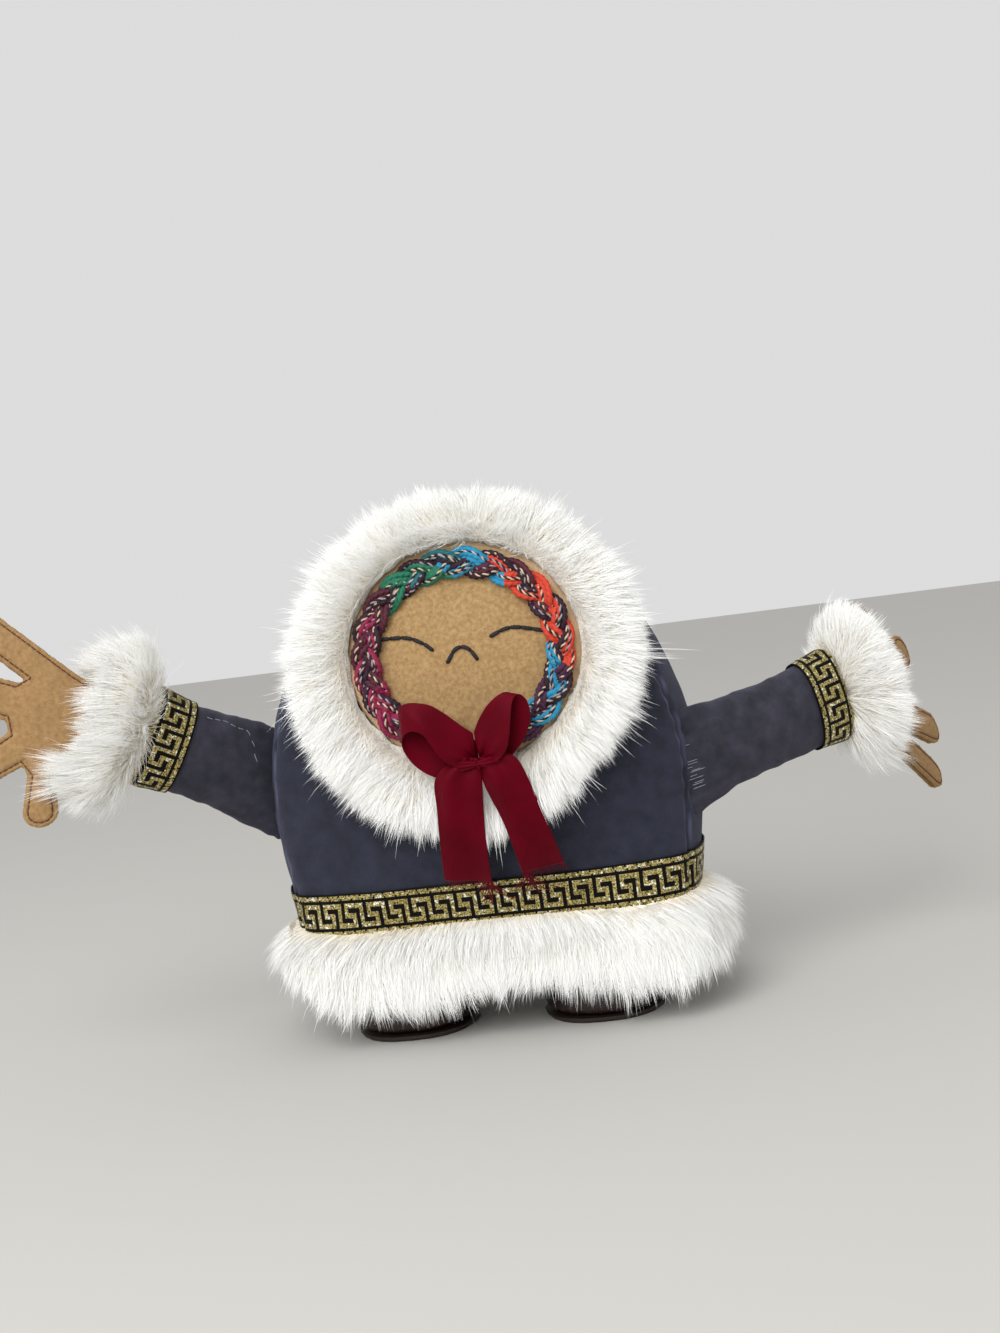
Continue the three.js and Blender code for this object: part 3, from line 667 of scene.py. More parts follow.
def sweep_tube(path, radius, sides=8, twist=0.0, lobes=0.0):
    """Rows of a tube along a path: radius may be a list, and lobes pinch it into plies that twist."""
    path = np.asarray(path, dtype=float)
    run = np.gradient(path, axis=0)
    run /= np.linalg.norm(run, axis=1, keepdims=True)
    side = np.cross(run, np.array([0.0, 1.0, 0.0]))
    small = np.linalg.norm(side, axis=1) < 0.1
    side[small] = np.cross(run[small], np.array([1.0, 0.0, 0.0]))
    side /= np.linalg.norm(side, axis=1, keepdims=True)
    other = np.cross(side, run)
    angles = 2 * math.pi * np.arange(sides) / sides
    turns = twist * distances_along(path)
    rows = []
    for place, thick, a, b, turn in zip(path, np.broadcast_to(radius, len(path)), side, other, turns):
        r = thick * (1 + lobes * np.cos(2 * (angles - turn)))
        rows.append(place + r[:, None] * (np.cos(angles)[:, None] * a + np.sin(angles)[:, None] * b))
    return rows


def curve_through(points, steps):
    """A smooth curve through points, with as many steps between each two of them."""
    points = np.asarray(points, dtype=float)
    ends = np.vstack([2 * points[0] - points[1], points, 2 * points[-1] - points[-2]])
    rows = []
    for i in range(1, len(ends) - 2):
        a, b, c, d = ends[i - 1:i + 3]
        for k in range(steps):
            t = k / steps
            cubic = (2 * a - 5 * b + 4 * c - d) * t ** 2 + (3 * b - a - 3 * c + d) * t ** 3
            rows.append(0.5 * (2 * b + (c - a) * t + cubic))
    return np.array([*rows, points[-1]])


def smooth_path(points, count):
    """Even points along a smooth curve through the given ones."""
    made = curve_through(points, 24)
    travelled = distances_along(made)
    return places_along(np.linspace(0, travelled[-1], count), travelled, made)


def join_grids(name, grids):
    """One mesh from several tubes, each closed round and capped with a fan at its ends."""
    points, faces = [], []
    for rows in grids:
        start = len(points)
        across = len(rows[0])
        for row in rows:
            points.extend(np.asarray(row).tolist())
        for i in range(len(rows) - 1):
            for k in range(across):
                a, b = start + i * across + k, start + i * across + (k + 1) % across
                faces.append((a, b, b + across, a + across))
        faces.append(tuple(start + k for k in reversed(range(across))))
        last = start + (len(rows) - 1) * across
        faces.append(tuple(last + k for k in range(across)))
    mesh = face_mesh(name, points, faces)
    recalculate(mesh)
    return mesh


def stitches(path, length, gap, radius, sink):
    """Tubes for a row of stitches along a path: each rises out of the cloth and dips back in."""
    travelled = distances_along(path)
    count = max(1, round(travelled[-1] / (length + gap)))
    step = travelled[-1] / count
    share = np.linspace(-1, 1, 9)
    grids = []
    for k in range(count):
        line = places_along(np.linspace(k * step, k * step + step - gap, 9), travelled, path)
        line[:, 1] += sink * share ** 6 - 0.15 * radius * (1 - share ** 2)
        grids.append(sweep_tube(line, radius * (1 - 0.35 * share ** 8), 8, 3500, 0.12))
    return grids


# Each line of floss, in half widths and half heights of the face from its middle
features = {
    "eye_stitch_left": [(-0.70, 0.218), (-0.465, 0.205), (-0.33, 0.14), (-0.242, 0.062)],
    "eye_stitch_right": [(0.242, 0.123), (0.372, 0.173), (0.488, 0.173), (0.69, 0.115)],
    "mouth_stitch": [(-0.14, -0.062), (-0.063, 0.047), (0.009, 0.064), (0.067, 0.027), (0.121, -0.067)],
}


def make_features(felt):
    for node, shares in features.items():
        flat = [(face.x + a * face_wide, 0, face.z + b * face_tall) for a, b in shares]
        path = smooth_path(flat, 120)
        for i, (x, _, z) in enumerate(path):
            path[i, 1] = felt.front(x, z).y - 0.0003
        mesh = join_grids(node + "_thread", stitches(path, 0.0040, 0.0001, 0.00072, 0.0007))
        dress(link(node + "_thread", mesh), floss_look, "torso", [node])


braid_inset = 0.0032
braid_width = 0.009
braid_periods = 7.5
yarn_steps = 850
braid_gap = math.radians(14)
braid_sway = 0.0031
braid_rise = 0.0011
yarn_radius = 0.00112
yarn_spacing = 0.00145
ply_radius = 0.00037
ply_turns = 11

cord_colours = {
    "magenta": srgb(150, 16, 72),
    "burgundy": srgb(84, 14, 40),
    "green": srgb(24, 122, 92),
    "turquoise": srgb(34, 152, 196),
    "teal": srgb(20, 110, 120),
    "coral": srgb(224, 66, 38),
    "plum": srgb(70, 20, 60),
    "dark": srgb(48, 16, 38),
}

# Each strand's colours from the lower left, clockwise, at shares of the way round
strand_runs = [
    [
        (0.0, "green"), (0.06, "magenta"), (0.34, "green"), (0.5, "turquoise"), (0.56, "coral"),
        (0.76, "turquoise"),
    ],
    [
        (0.0, "burgundy"), (0.12, "magenta"), (0.3, "burgundy"), (0.42, "teal"), (0.54, "burgundy"),
        (0.7, "coral"), (0.8, "turquoise"),
    ],
    [
        (0.0, "magenta"), (0.2, "burgundy"), (0.38, "green"), (0.48, "turquoise"), (0.6, "coral"),
        (0.8, "plum"),
    ],
]


def strand_colour(strand, share):
    return cord_colours[[name for start, name in strand_runs[strand] if share >= start][-1]]


def make_braid(felt):
    """Three strands, each of three yarns and a metallic cord, plaited round the face."""
    steps = few(yarn_steps)
    turns = np.linspace(0, 2 * math.pi, 91)
    base = [felt.front(*face_oval(braid_inset + braid_width / 2, turn)).y for turn in turns]
    for strand in range(3):
        phase = 2 * math.pi * strand / 3
        share = np.linspace(0, 1, steps)
        angle = -math.pi / 2 + braid_gap / 2 + share * (2 * math.pi - braid_gap)
        weave = 2 * math.pi * braid_periods * share + phase
        sway = braid_sway * np.sin(weave)
        rise = braid_rise * np.sin(2 * weave)
        inset = braid_inset + braid_width / 2 - sway
        centre = np.stack([
            face.x + (face_wide - inset) * np.cos(angle),
            np.interp(angle % (2 * math.pi), turns, base) - 0.0028 - rise,
            face.z + (face_tall - inset) * np.sin(angle),
        ], axis=1)
        run = np.gradient(centre, axis=0)
        run /= np.linalg.norm(run, axis=1, keepdims=True)
        side = np.cross(run, np.array([0.0, 1.0, 0.0]))
        side /= np.linalg.norm(side, axis=1, keepdims=True)
        out = np.cross(run, side)
        out *= np.where(out[:, 1:2] > 0, -1, 1)
        grids, tints = [], []
        clockwise = 1 - share

        def lay(across, up, thickness, sides, lobes, colours):
            place = centre + across[:, None] * side + up[:, None] * out
            grids.append(sweep_tube(place, thickness, sides, 1500, lobes))
            for tint in colours:
                tints.extend([tint] * sides)

        for yarn in range(3):
            wander = 0.0003 * np.sin(weave * (1.3 + 0.2 * yarn) + 2 * yarn + strand)
            across = (yarn - 1) * yarn_spacing + wander
            up = 0.00025 * np.sin(weave * 1.7 + 1.9 * yarn)
            colours = [(*strand_colour(strand, c), 0.0) for c in clockwise]
            if strand < 2 and yarn == 2 * strand:
                colours = [(*cord_colours["dark"], 0.2)] * steps
            lay(across, up, yarn_radius, 9, 0.16, colours)
        for cord in range(2 if strand < 2 else 1):
            middle_way = 0.0013 * np.sin(weave * 0.55 + 2.4 * cord + 1.7 * strand)
            for ply in range(2):
                twist = share * braid_periods * 2 * math.pi * ply_turns + ply * math.pi
                across = middle_way + 0.00026 * np.cos(twist)
                up = 0.00098 + 0.00022 * np.sin(twist) + 0.0003 * np.cos(middle_way / 0.0004)
                bright = (*(srgb(240, 214, 184) if cord == 0 else srgb(186, 176, 180)), 0.6)
                dark = (*srgb(26, 18, 30), 0.1)
                lay(across, up, ply_radius, 6, 0.0, [bright if ply == 0 else dark] * steps)
        name = f"braid_cords_{strand + 1}"
        mesh = join_grids(name, grids)
        stored = mesh.attributes.new("tint", "FLOAT_COLOR", "POINT")
        stored.data.foreach_set("color", np.array(tints, dtype=np.float32).ravel())
        dress(link(name, mesh), cord_look, "torso", [f"braid_strand_{strand + 1}"])


# Fur

def drawn_together(path, roots, share, strength, curve, random):
    """Pulls hairs towards the nearest of a few chosen ones, more at their tips, as locks of fur."""
    count = len(roots)
    chosen = random.choice(count, max(1, int(count * share)), replace=False)
    nearest = np.empty(count, dtype=int)
    for start in range(0, count, 2000):
        part = roots[start:start + 2000]
        gap = ((part[:, None, :] - roots[chosen][None, :, :]) ** 2).sum(axis=2)
        nearest[start:start + 2000] = chosen[gap.argmin(axis=1)]
    pull = strength * random.uniform(0.3, 1.0, size=count)
    return path + pull[:, None, None] * curve[None, :, None] * (path[nearest] - path)


blade_width = 0.000235
blade_segments = 4
blade_curl = 0.1
lock_pull = 0.6
ruff_hairs = 11400
hem_hairs = 11000
cuff_hairs = 10500
ruff_parts = 5
hem_parts = 5
cuff_parts = 2


def fur_mesh(name, roots, normal, comb, lengths, seed, rise, fall=0.1, warm=0.0):
    """Fine tapering blades of hair: each stands up from the hide, then lies over the way it is combed."""
    random = np.random.default_rng(seed)
    segments = blade_segments
    count = len(roots)
    into = np.minimum(0, (comb * normal).sum(axis=1, keepdims=True))
    comb = unit(comb - into * normal)
    t = np.linspace(0, 1, segments + 1)
    up = (t - 0.45 * t ** 2)[None, :, None]
    over = (0.45 * t + 0.55 * t ** 1.6)[None, :, None]
    stand = (rise * random.uniform(0.6, 1.3, size=count))[:, None, None]
    bend = unit(random.normal(size=(count, 3))) * random.uniform(0, blade_curl, size=(count, 1))
    path = roots[:, None, :] + lengths[:, None, None] * (
        normal[:, None, :] * stand * up
        + comb[:, None, :] * over
        + bend[:, None, :] * (t ** 2)[None, :, None]
        + np.array([0, 0, -fall])[None, None, :] * (t ** 2)[None, :, None]
    )
    path = drawn_together(path, roots, 0.004, 0.35, t ** 1.5, random)
    path = drawn_together(path, roots, 0.05, lock_pull, t ** 1.2, random)
    run = unit(path[:, -1] - path[:, 0])
    side = unit(np.cross(run, normal))
    turn = random.uniform(-0.8, 0.8, size=(count, 1))
    side = side * np.cos(turn) + np.cross(run, side) * np.sin(turn)
    thick = blade_width * random.uniform(0.6, 1.2, size=count)
    rings = []
    for i in range(segments):
        half = 0.5 * thick * (1 - 0.75 * t[i] ** 1.5)
        rings.append(path[:, i] - half[:, None] * side)
        rings.append(path[:, i] + half[:, None] * side)
    rings.append(path[:, -1])
    per = 2 * segments + 1
    points = np.stack(rings, axis=1).reshape(-1, 3)
    pattern = []
    for i in range(segments - 1):
        a = 2 * i
        pattern += [(a, a + 1, a + 3), (a, a + 3, a + 2)]
    pattern.append((per - 3, per - 2, per - 1))
    triangles = (np.array(pattern)[None] + (np.arange(count) * per)[:, None, None]).reshape(-1, 3)
    mesh = triangle_mesh(name, points, triangles)
    along = np.concatenate([np.repeat(t[:-1], 2), [1.0]])
    point_values(mesh, "along", np.tile(along, count))
    point_values(mesh, "shade", np.repeat(random.uniform(0, 1, count), per))
    point_values(mesh, "warm", np.repeat(warm * np.ones(count), per))
    return mesh


def few(count):
    return count


def sampled(node, count, seed, keep=None, inset=0.0):
    """Random points and normals on a CAD node's surface, evenly by area."""
    random = np.random.default_rng(seed)
    mesh = frame["nodes"][node].data
    mesh.calc_loop_triangles()
    corners = coordinates(mesh)[np.array([t.vertices[:] for t in mesh.loop_triangles])]
    cross = np.cross(corners[:, 1] - corners[:, 0], corners[:, 2] - corners[:, 0])
    area = np.linalg.norm(cross, axis=1)
    normal = cross / np.maximum(area, 1e-12)[:, None]
    usable = area > 1e-12
    if keep is not None:
        usable &= keep(corners.mean(axis=1), normal)
    corners, normal, area = corners[usable], normal[usable], area[usable]
    chosen = random.choice(len(area), count, p=area / area.sum())
    a, b = random.uniform(size=(2, count, 1))
    flip = (a + b) > 1
    a, b = np.where(flip, 1 - a, a), np.where(flip, 1 - b, b)
    c = corners[chosen]
    points = c[:, 0] + a * (c[:, 1] - c[:, 0]) + b * (c[:, 2] - c[:, 0])
    return points - inset * normal[chosen], normal[chosen]


def make_pelt(name, node, body, shape):
    """The hide under the fur, from the CAD node: shape moves its points to suit the hairs."""
    pelt = joined_copy(name, [node])
    remesh(pelt, 0.003)
    points = coordinates(pelt.data)
    normal = normals_of(pelt.data)
    lumps = 0.0007 * wave(points, 0.008, 51)
    set_coordinates(pelt.data, shape(points, normal) + normal * lumps[:, None])
    return dress(pelt, pelt_look, body)


def clear_of(obj, ends, way, asked):
    """Which hairs stay behind a finished piece at these points, seen along a way."""
    surface = Surface(obj)
    free = asked.copy()
    for i in np.flatnonzero(asked):
        hit = surface.hit(ends[i], way)
        if hit is not None and (hit - Vector(ends[i])).length < 0.02:
            free[i] = False
    return free


def drop_hairs(mesh, count, keep):
    """Deletes whole hairs from a fur mesh."""
    per = len(mesh.vertices) // count
    shape = bmesh.new()
    shape.from_mesh(mesh)
    shape.verts.ensure_lookup_table()
    gone = [shape.verts[i * per + k] for i in np.flatnonzero(~keep) for k in range(per)]
    bmesh.ops.delete(shape, geom=gone, context="VERTS")
    shape.to_mesh(mesh)
    shape.free()


def part_round(pieces, mesh, count):
    """Parts the fur where a ribbon lies in front of it, so that no hair comes through."""
    per = len(mesh.vertices) // count
    points = coordinates(mesh).reshape(count, per, 3)
    keep = np.ones(count, dtype=bool)
    for piece in pieces:
        for ring in range(2, per, 2):
            keep &= clear_of(piece, points[:, ring], (0, 1, 0), keep)
    drop_hairs(mesh, count, keep)


ruff_low, ruff_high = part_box("hood_ruff")


def ruff_place(points):
    """How far points lie out across the ruff: 0 at the felt's edge and 1 at the fur's outer edge."""
    x, z = points[:, 0] - face.x, points[:, 2] - face.z
    inner = np.hypot(x / face_wide, z / face_tall)
    centre_z = (ruff_low.z + ruff_high.z) / 2
    wide, tall = (ruff_high.x - ruff_low.x) / 2, (ruff_high.z - ruff_low.z) / 2
    outer = np.hypot(x / wide, (points[:, 2] - centre_z) / tall)
    return np.clip((inner - 1) / np.maximum(inner - 1 + 1 / np.maximum(outer, 0.2) - 1, 0.05), 0, 1)


rim_steps = 72
rim_cover = 0.0019
rim_gap = 0.0006
rim_slope = 0.5


def ruff_settled(points, felt_rim):
    """Lays the ruff's inner edge over the felt's rim, and lets its front rise slowly from there."""
    x, z = points[:, 0] - face.x, points[:, 2] - face.z
    out = (np.hypot(x / face_wide, z / face_tall) - 1) * (face_wide + face_tall) / 2
    angle = np.arctan2(z / face_tall, x / face_wide) % (2 * math.pi)
    rim = np.interp(angle, np.linspace(0, 2 * math.pi, rim_steps + 1), felt_rim)
    radial = unit(np.stack([x / face_wide ** 2, 0 * x, z / face_tall ** 2], axis=1))
    moved = points - radial * (rim_cover * np.clip(1 - out / 0.009, 0, 1))[:, None]
    front = rim - rim_gap - rim_slope * np.maximum(0, out + 0.001)
    moved[:, 1] = np.maximum(moved[:, 1], np.minimum(front, 0.001))
    low_right = np.exp(-((angle - math.radians(312)) / math.radians(24)) ** 2)
    moved -= radial * (0.006 * low_right * np.clip(out / 0.02, 0, 1))[:, None]
    return moved


def make_ruff(ribbons, felt):
    """A strip of rabbit fur round the face: hairs lie outwards from the face, and droop below it."""
    turns = [2 * math.pi * k / rim_steps for k in range(rim_steps + 1)]
    felt_rim = [felt.front(*face_oval(0.004, angle)).y for angle in turns]

    def shape(points, normal):
        place = ruff_place(points)
        inwards = np.interp(place, [0, 0.15, 0.5, 1], [0.0, 0.0012, 0.0022, 0.0050])
        return ruff_settled(points - normal * inwards[:, None], felt_rim)

    make_pelt("hood_pelt", "hood_ruff", "torso", shape)
    for part in range(ruff_parts):
        inner = part == ruff_parts - 1
        count = few(ruff_hairs)
        random = np.random.default_rng(60 + part)

        def kept(place, way):
            share = ruff_place(place)
            if inner:
                return (share < 0.3) & (way[:, 1] < 0.6)
            return ((way[:, 1] < 0.3) & (share < 0.93)) | ((way[:, 1] < 0.98) & (share > 0.6))

        roots, normal = sampled("hood_ruff", count, 65 + part, kept, 0.0026)
        across, up = (roots[:, 0] - face.x) / face_wide ** 2, (roots[:, 2] - face.z) / face_tall ** 2
        radial = unit(np.stack([across, np.zeros(count), up], axis=1))
        place = ruff_place(roots)
        roots = ruff_settled(roots, felt_rim)
        sideways = np.stack([-radial[:, 2], np.zeros(count), radial[:, 0]], axis=1)
        swirl = 0.28 * wave(roots, 0.05, 66) + 0.25 * wave(roots, 0.017, 67) + 0.22 * wave(roots, 0.007, 68)
        if inner:
            comb = radial + np.array([0, -0.6, 0])
            over = random.uniform(size=count) < 0.14
            comb[over] = -0.45 * radial[over] + np.array([0, -0.9, 0])
            comb = comb + sideways * swirl[:, None] + random.normal(size=(count, 3)) * 0.2
            normal = unit(normal * 0.2 + np.array([0, -1.0, 0]) + 0.3 * radial)
            length = random.uniform(0.004, 0.0085, count)
            length[over] *= 0.45
        else:
            behind = np.clip(normal[:, 1], 0, 1)[:, None]
            comb = radial + np.array([0, -0.22, -0.12]) * (1 - behind) + sideways * swirl[:, None]
            comb = comb + random.normal(size=(count, 3)) * 0.16
            left = (1 - place) * 0.0195
            length = np.interp(place, [0.0, 0.15, 0.5], [0.007, 0.012, 0.016])
            length = np.minimum(length, 1.1 * left + 0.0045)
            length *= random.uniform(0.5, 1.15, count) * (1 + 0.3 * wave(roots, 0.011, 69 + part))
            stray = random.uniform(size=count) < 0.03
            length[stray] *= 1.6
        warm = np.clip(1 - place / 0.22, 0, 1)
        name = f"hood_fur_{part + 1}"
        mesh = fur_mesh(name, roots, normal, comb, length, 70 + part, rise=0.36, warm=warm)
        part_round(ribbons, mesh, count)
        dress(link(name, mesh), fur_look, "torso", ["hood_ruff"] if part == 0 else ())


hem_low, hem_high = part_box("hem_fur")

# The height of the hem fur's lower edge at places across the doll
hem_across = [-0.085, -0.072, -0.055, -0.030, -0.002, 0.020, 0.056, 0.081, 0.091]
hem_bottom = [0.0440, 0.0325, 0.0185, 0.0178, 0.0240, 0.0240, 0.0155, 0.0220, 0.0335]


def hem_height(points):
    """How far up the hem's fur points lie: 0 at its lower edge and 1 at the trim."""
    return (points[:, 2] - hem_low.z) / (hem_high.z - hem_low.z)


def hem_lift(points):
    """Brings the hem fur's lower edge to the photo's height at each place across the doll."""
    height = np.clip(hem_height(points), 0, 1)
    across = points[:, 0] - middle.x
    bottom = np.interp(across, hem_across, hem_bottom)
    moved = points.copy()
    moved[:, 2] += (bottom - hem_low.z) * (1 - height)
    sides = np.clip((np.abs(across) - 0.06) / 0.03, 0, 1)
    tucked_in = np.where(across < 0, 0.0068, 0.004)
    moved[:, 0] -= np.sign(across) * tucked_in * sides * (1 - height) ** 1.2
    return moved


def make_hem_fur():
    """Long fur sewn under the trim: it hangs down and stands away from the body."""
    def shape(points, normal):
        height = np.clip(hem_height(points), 0, 1)
        inwards = np.interp(height, [0, 0.7, 0.9, 1], [0.0028, 0.0028, 0.0008, -0.0008])
        moved = hem_lift(points - normal * inwards[:, None])
        moved[:, 2] += 0.0012 * np.clip((height - 0.8) / 0.2, 0, 1)
        return moved

    make_pelt("hem_pelt", "hem_fur", "torso", shape)
    centre = np.array([middle.x, middle.y])
    for part in range(hem_parts):
        count = few(hem_hairs)
        random = np.random.default_rng(80 + part)

        def outside(place, way):
            away = place[:, :2] - centre
            return (way[:, :2] * away).sum(axis=1) > -0.35 * np.linalg.norm(away, axis=1)

        def at_top(place, way):
            return outside(place, way) & (place[:, 2] > hem_high.z - 0.0065)

        top_only = part == hem_parts - 1
        roots, normal = sampled("hem_fur", count, 90 + part, at_top if top_only else outside, 0.0032)
        height = hem_height(roots)
        roots = hem_lift(roots)
        away = np.concatenate([roots[:, :2] - centre, np.zeros((count, 1))], axis=1)
        upper = np.clip((height - 0.8) / 0.1, 0, 1)[:, None]
        normal = unit(normal * (1 - upper) + (0.9 * unit(away) + np.array([0, 0, 0.25])) * upper)
        roots[:, 2] += 0.0036 * upper[:, 0]
        swirl = 0.3 * wave(roots, 0.06, 86) + 0.28 * wave(roots, 0.02, 87) + 0.3 * wave(roots, 0.007, 89)
        sideways = unit(np.cross(normal, np.array([0, 0, 1.0])))
        comb = np.array([0, 0, -1.0]) + normal * 0.2 + sideways * swirl[:, None]
        comb = comb + random.normal(size=(count, 3)) * 0.15 + 1.1 * unit(away) * upper
        length = np.interp(height, [0, 0.3, 0.8, 1], [0.0105, 0.0140, 0.017, 0.013])
        length *= random.uniform(0.4, 1.2, count) * (1 + 0.3 * wave(roots, 0.012, 88 + part))
        stray = random.uniform(size=count) < 0.02
        length[stray] *= 1.5
        name = f"hem_hairs_{part + 1}"
        mesh = fur_mesh(name, roots, normal, comb, length, 100 + part, rise=0.36, fall=0.05)
        points = coordinates(mesh)
        points[:, 2] = np.maximum(points[:, 2], 0.0012)
        set_coordinates(mesh, points)
        dress(link(name, mesh), fur_look, "torso", ["hem_fur"] if part == 0 else ())


# Arms

joint_places = {joint["name"]: Vector(joint["pos_m"]) for joint in frame["record"]["behaviour"]["joints"]}


def arm_frame(side):
    """The shoulder, the ways along the arm, up across it and through it, and how far the wrist is."""
    shoulder = joint_places[f"shoulder_{side}"]
    reach = joint_places[f"wrist_{side}"] - shoulder
    along = reach.normalized()
    through = along.cross(Vector((0, 0, 1))).normalized()
    up = through.cross(along).normalized()
    return shoulder, along, up, through, reach.length


def local(points, origin, axes):
    return (points - np.array(origin)) @ np.array([list(a) for a in axes]).T


gather_pitch = 0.0048
gather_height = 0.00035
root_lift = 0.0055
root_overlap = 0.0085


def make_sleeve(side):
    """Stuffed velvet over the CAD's sleeve, gathered and drawn into the body at its root."""
    name = f"sleeve_velvet_{side}"
    sleeve = joined_copy(name, [f"sleeve_{side}", f"sleeve_stuffing_{side}"])
    remesh(sleeve, 0.0028)
    keep_largest(sleeve)
    smooth(sleeve, 3)
    origin, along, up, through, reach = arm_frame(side)
    points = coordinates(sleeve.data)
    places = local(points, origin, (along, up, through))
    held = np.exp(-((places[:, 0] - 0.001) / 0.006) ** 2) + (places[:, 0] > 0.66 * reach)
    inflate(sleeve, 3.0, np.clip(held, 0, 1), 0.0025)
    subdivide(sleeve, 2)
    points = coordinates(sleeve.data)
    normal = normals_of(sleeve.data)
    places = local(points, origin, (along, up, through))
    s, v = places[:, 0], places[:, 1]
    gather = np.sin(v / gather_pitch * 2 * math.pi + 1.5 * wave(points, 0.03, 111))
    gather *= np.exp(-np.clip(s, 0, 1) / 0.009)
    push = gather_height * gather + 0.0006 * wave(points, 0.03, 112) + 0.00015 * wave(points, 0.01, 113)
    push *= np.clip((0.72 * reach - s) / 0.006, 0.05, 1)
    points = points + normal * push[:, None]
    away = np.clip(1 - (s - 0.0005) / 0.012, 0, 1)
    points -= np.array(along) * (root_overlap * away ** 1.3)[:, None]
    points += np.array(up) * (0.0022 * away * np.clip(v / 0.01, -1, 1))[:, None]
    if side == "left":
        near = np.clip(1 - s / (0.62 * reach), 0, 1) ** 1.5
        points += np.array(up) * (root_lift * near * np.clip(v / 0.013, 0, 1))[:, None]
    set_coordinates(sleeve.data, points)
    dress(sleeve, sleeve_look, None, [f"sleeve_{side}"])
    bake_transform(sleeve)
    filling = joined_copy(f"sleeve_fibre_{side}", [f"sleeve_stuffing_{side}"])
    remesh(filling, 0.005)
    inner = coordinates(filling.data)
    set_coordinates(filling.data, inner + normals_of(filling.data) * -0.001)
    dress(filling, filling_look, f"arm_{side}", [f"sleeve_stuffing_{side}"])
    return sleeve


def make_gathers(side, sleeve):
    """Pale thread: the gathers at the right sleeve's root, and the seam along the left sleeve's top."""
    origin, along, up, through, reach = arm_frame(side)
    front = through if through.y < 0 else -through
    surface = Surface(sleeve)
    random = np.random.default_rng(150 if side == "left" else 151)

    def thread(start, run, out, aside, thickness):
        line = []
        for s in np.linspace(start, start + run, 6):
            hit = surface.hit(origin + along * s + aside + out * 0.05, -out)
            if hit is None:
                return
            line.append(np.array(hit))
        grids.append(sweep_tube(line, thickness, 5))

    grids = []
    if side == "right":
        for height in np.linspace(-0.010, 0.012, 20):
            aside = up * (height + random.uniform(-0.0004, 0.0004))
            thread(random.uniform(-0.0075, -0.0055), random.uniform(0.0020, 0.0058), front, aside, 0.0001)
    else:
        for s in np.arange(0.001, 0.6 * reach, 0.0032):
            aside = front * (0.0055 + random.uniform(-0.0001, 0.0001))
            thread(s, random.uniform(0.0016, 0.0024), up, aside, 0.00013)
    name = f"gather_thread_{side}"
    piece = link(name, join_grids(name, grids))
    dress(piece, gather_look, None, ())
    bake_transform(piece)


def make_cuff_fur(side):
    """A strip of fur at the sleeve's end, combed towards the hand."""
    node = f"cuff_fur_{side}"
    origin, along, _, _, reach = arm_frame(side)
    forward = np.array(along)
    centre = np.array(origin + along * (reach + 0.006))

    def settled(points):
        """Narrows the fur's mouth round the hand, and brings its base up to the trim."""
        place = (points - centre) @ forward
        away = points - centre - place[:, None] * forward
        mouth = np.clip((place - 0.001) / 0.011, 0, 1)
        base = np.clip(-place / 0.006, 0, 1)
        return centre + (place - 0.0024 * base)[:, None] * forward + away * (1 - 0.3 * mouth)[:, None]

    def shape(points, normal):
        return settled(points - 0.002 * normal)

    make_pelt(f"cuff_pelt_{side}", node, f"arm_{side}", shape)
    for part in range(cuff_parts):
        random = np.random.default_rng(120 + part)
        count = few(cuff_hairs)

        def outside(place, way):
            away = place - centre
            away = away - (away @ forward)[:, None] * forward
            return (way * away).sum(axis=1) > 0.05 * np.linalg.norm(away, axis=1)

        roots, normal = sampled(node, count, 130 + part, outside if part == 0 else None, 0.0022)
        place = (roots - centre) @ forward
        away = roots - centre - place[:, None] * forward
        radial = unit(away)
        share = np.clip((place + 0.008) / 0.018, 0, 1)
        roots = settled(roots)
        outwards = np.interp(share, [0, 0.4, 1], [0.6, 0.5, 0.0])
        onwards = np.interp(share, [0, 0.35, 1], [-0.2, 0.7, 1.0])
        comb = radial * outwards[:, None] + forward * onwards[:, None]
        sideways = unit(np.cross(radial, forward))
        comb = comb + 0.3 * wave(roots, 0.02, 121)[:, None] * sideways
        comb += random.normal(size=(count, 3)) * 0.18
        longest = 0.0135 if side == "left" else 0.0044
        length = np.interp(share, [0, 0.3, 1], [0.009, 0.012, longest]) * random.uniform(0.5, 1.2, count)
        length *= 1 + 0.35 * wave(roots, 0.009, 141 + part)
        name = f"cuff_hairs_{side}_{part + 1}"
        mesh = fur_mesh(name, roots, normal, comb, length, 140 + part, rise=0.5, fall=0.15)
        dress(link(name, mesh), fur_look, f"arm_{side}", [node] if part == 0 else ())


# Hands

def outline_of(node, facing):
    """The ordered outline of the flat side of a hand layer that faces a way."""
    shape = bmesh.new()
    shape.from_mesh(frame["nodes"][node].data)
    bmesh.ops.remove_doubles(shape, verts=shape.verts, dist=1e-6)
    shape.normal_update()
    flat = [f for f in shape.faces if f.normal.dot(facing) > 0.9]
    inside = set(flat)
    edges = [e for f in flat for e in f.edges if sum(g in inside for g in e.link_faces) == 1]
    follow = {}
    for edge in edges:
        for a, b in ((edge.verts[0], edge.verts[1]), (edge.verts[1], edge.verts[0])):
            follow.setdefault(a.index, []).append(b.index)
    places = {v.index: v.co.copy() for v in shape.verts}
    start = edges[0].verts[0].index
    line, before, here = [start], None, start
    while True:
        step = [k for k in follow[here] if k != before]
        if not step or step[0] == start:
            break
        before, here = here, step[0]
        line.append(here)
    shape.free()
    return np.array([places[k] for k in line])


def hand_axes(side):
    """The way the hand's flat side faces, out of the front layer."""
    front = frame["nodes"][f"hand_front_{side}"].data
    back = frame["nodes"][f"hand_back_{side}"].data
    facing = coordinates(front).mean(axis=0) - coordinates(back).mean(axis=0)
    return Vector(facing).normalized()


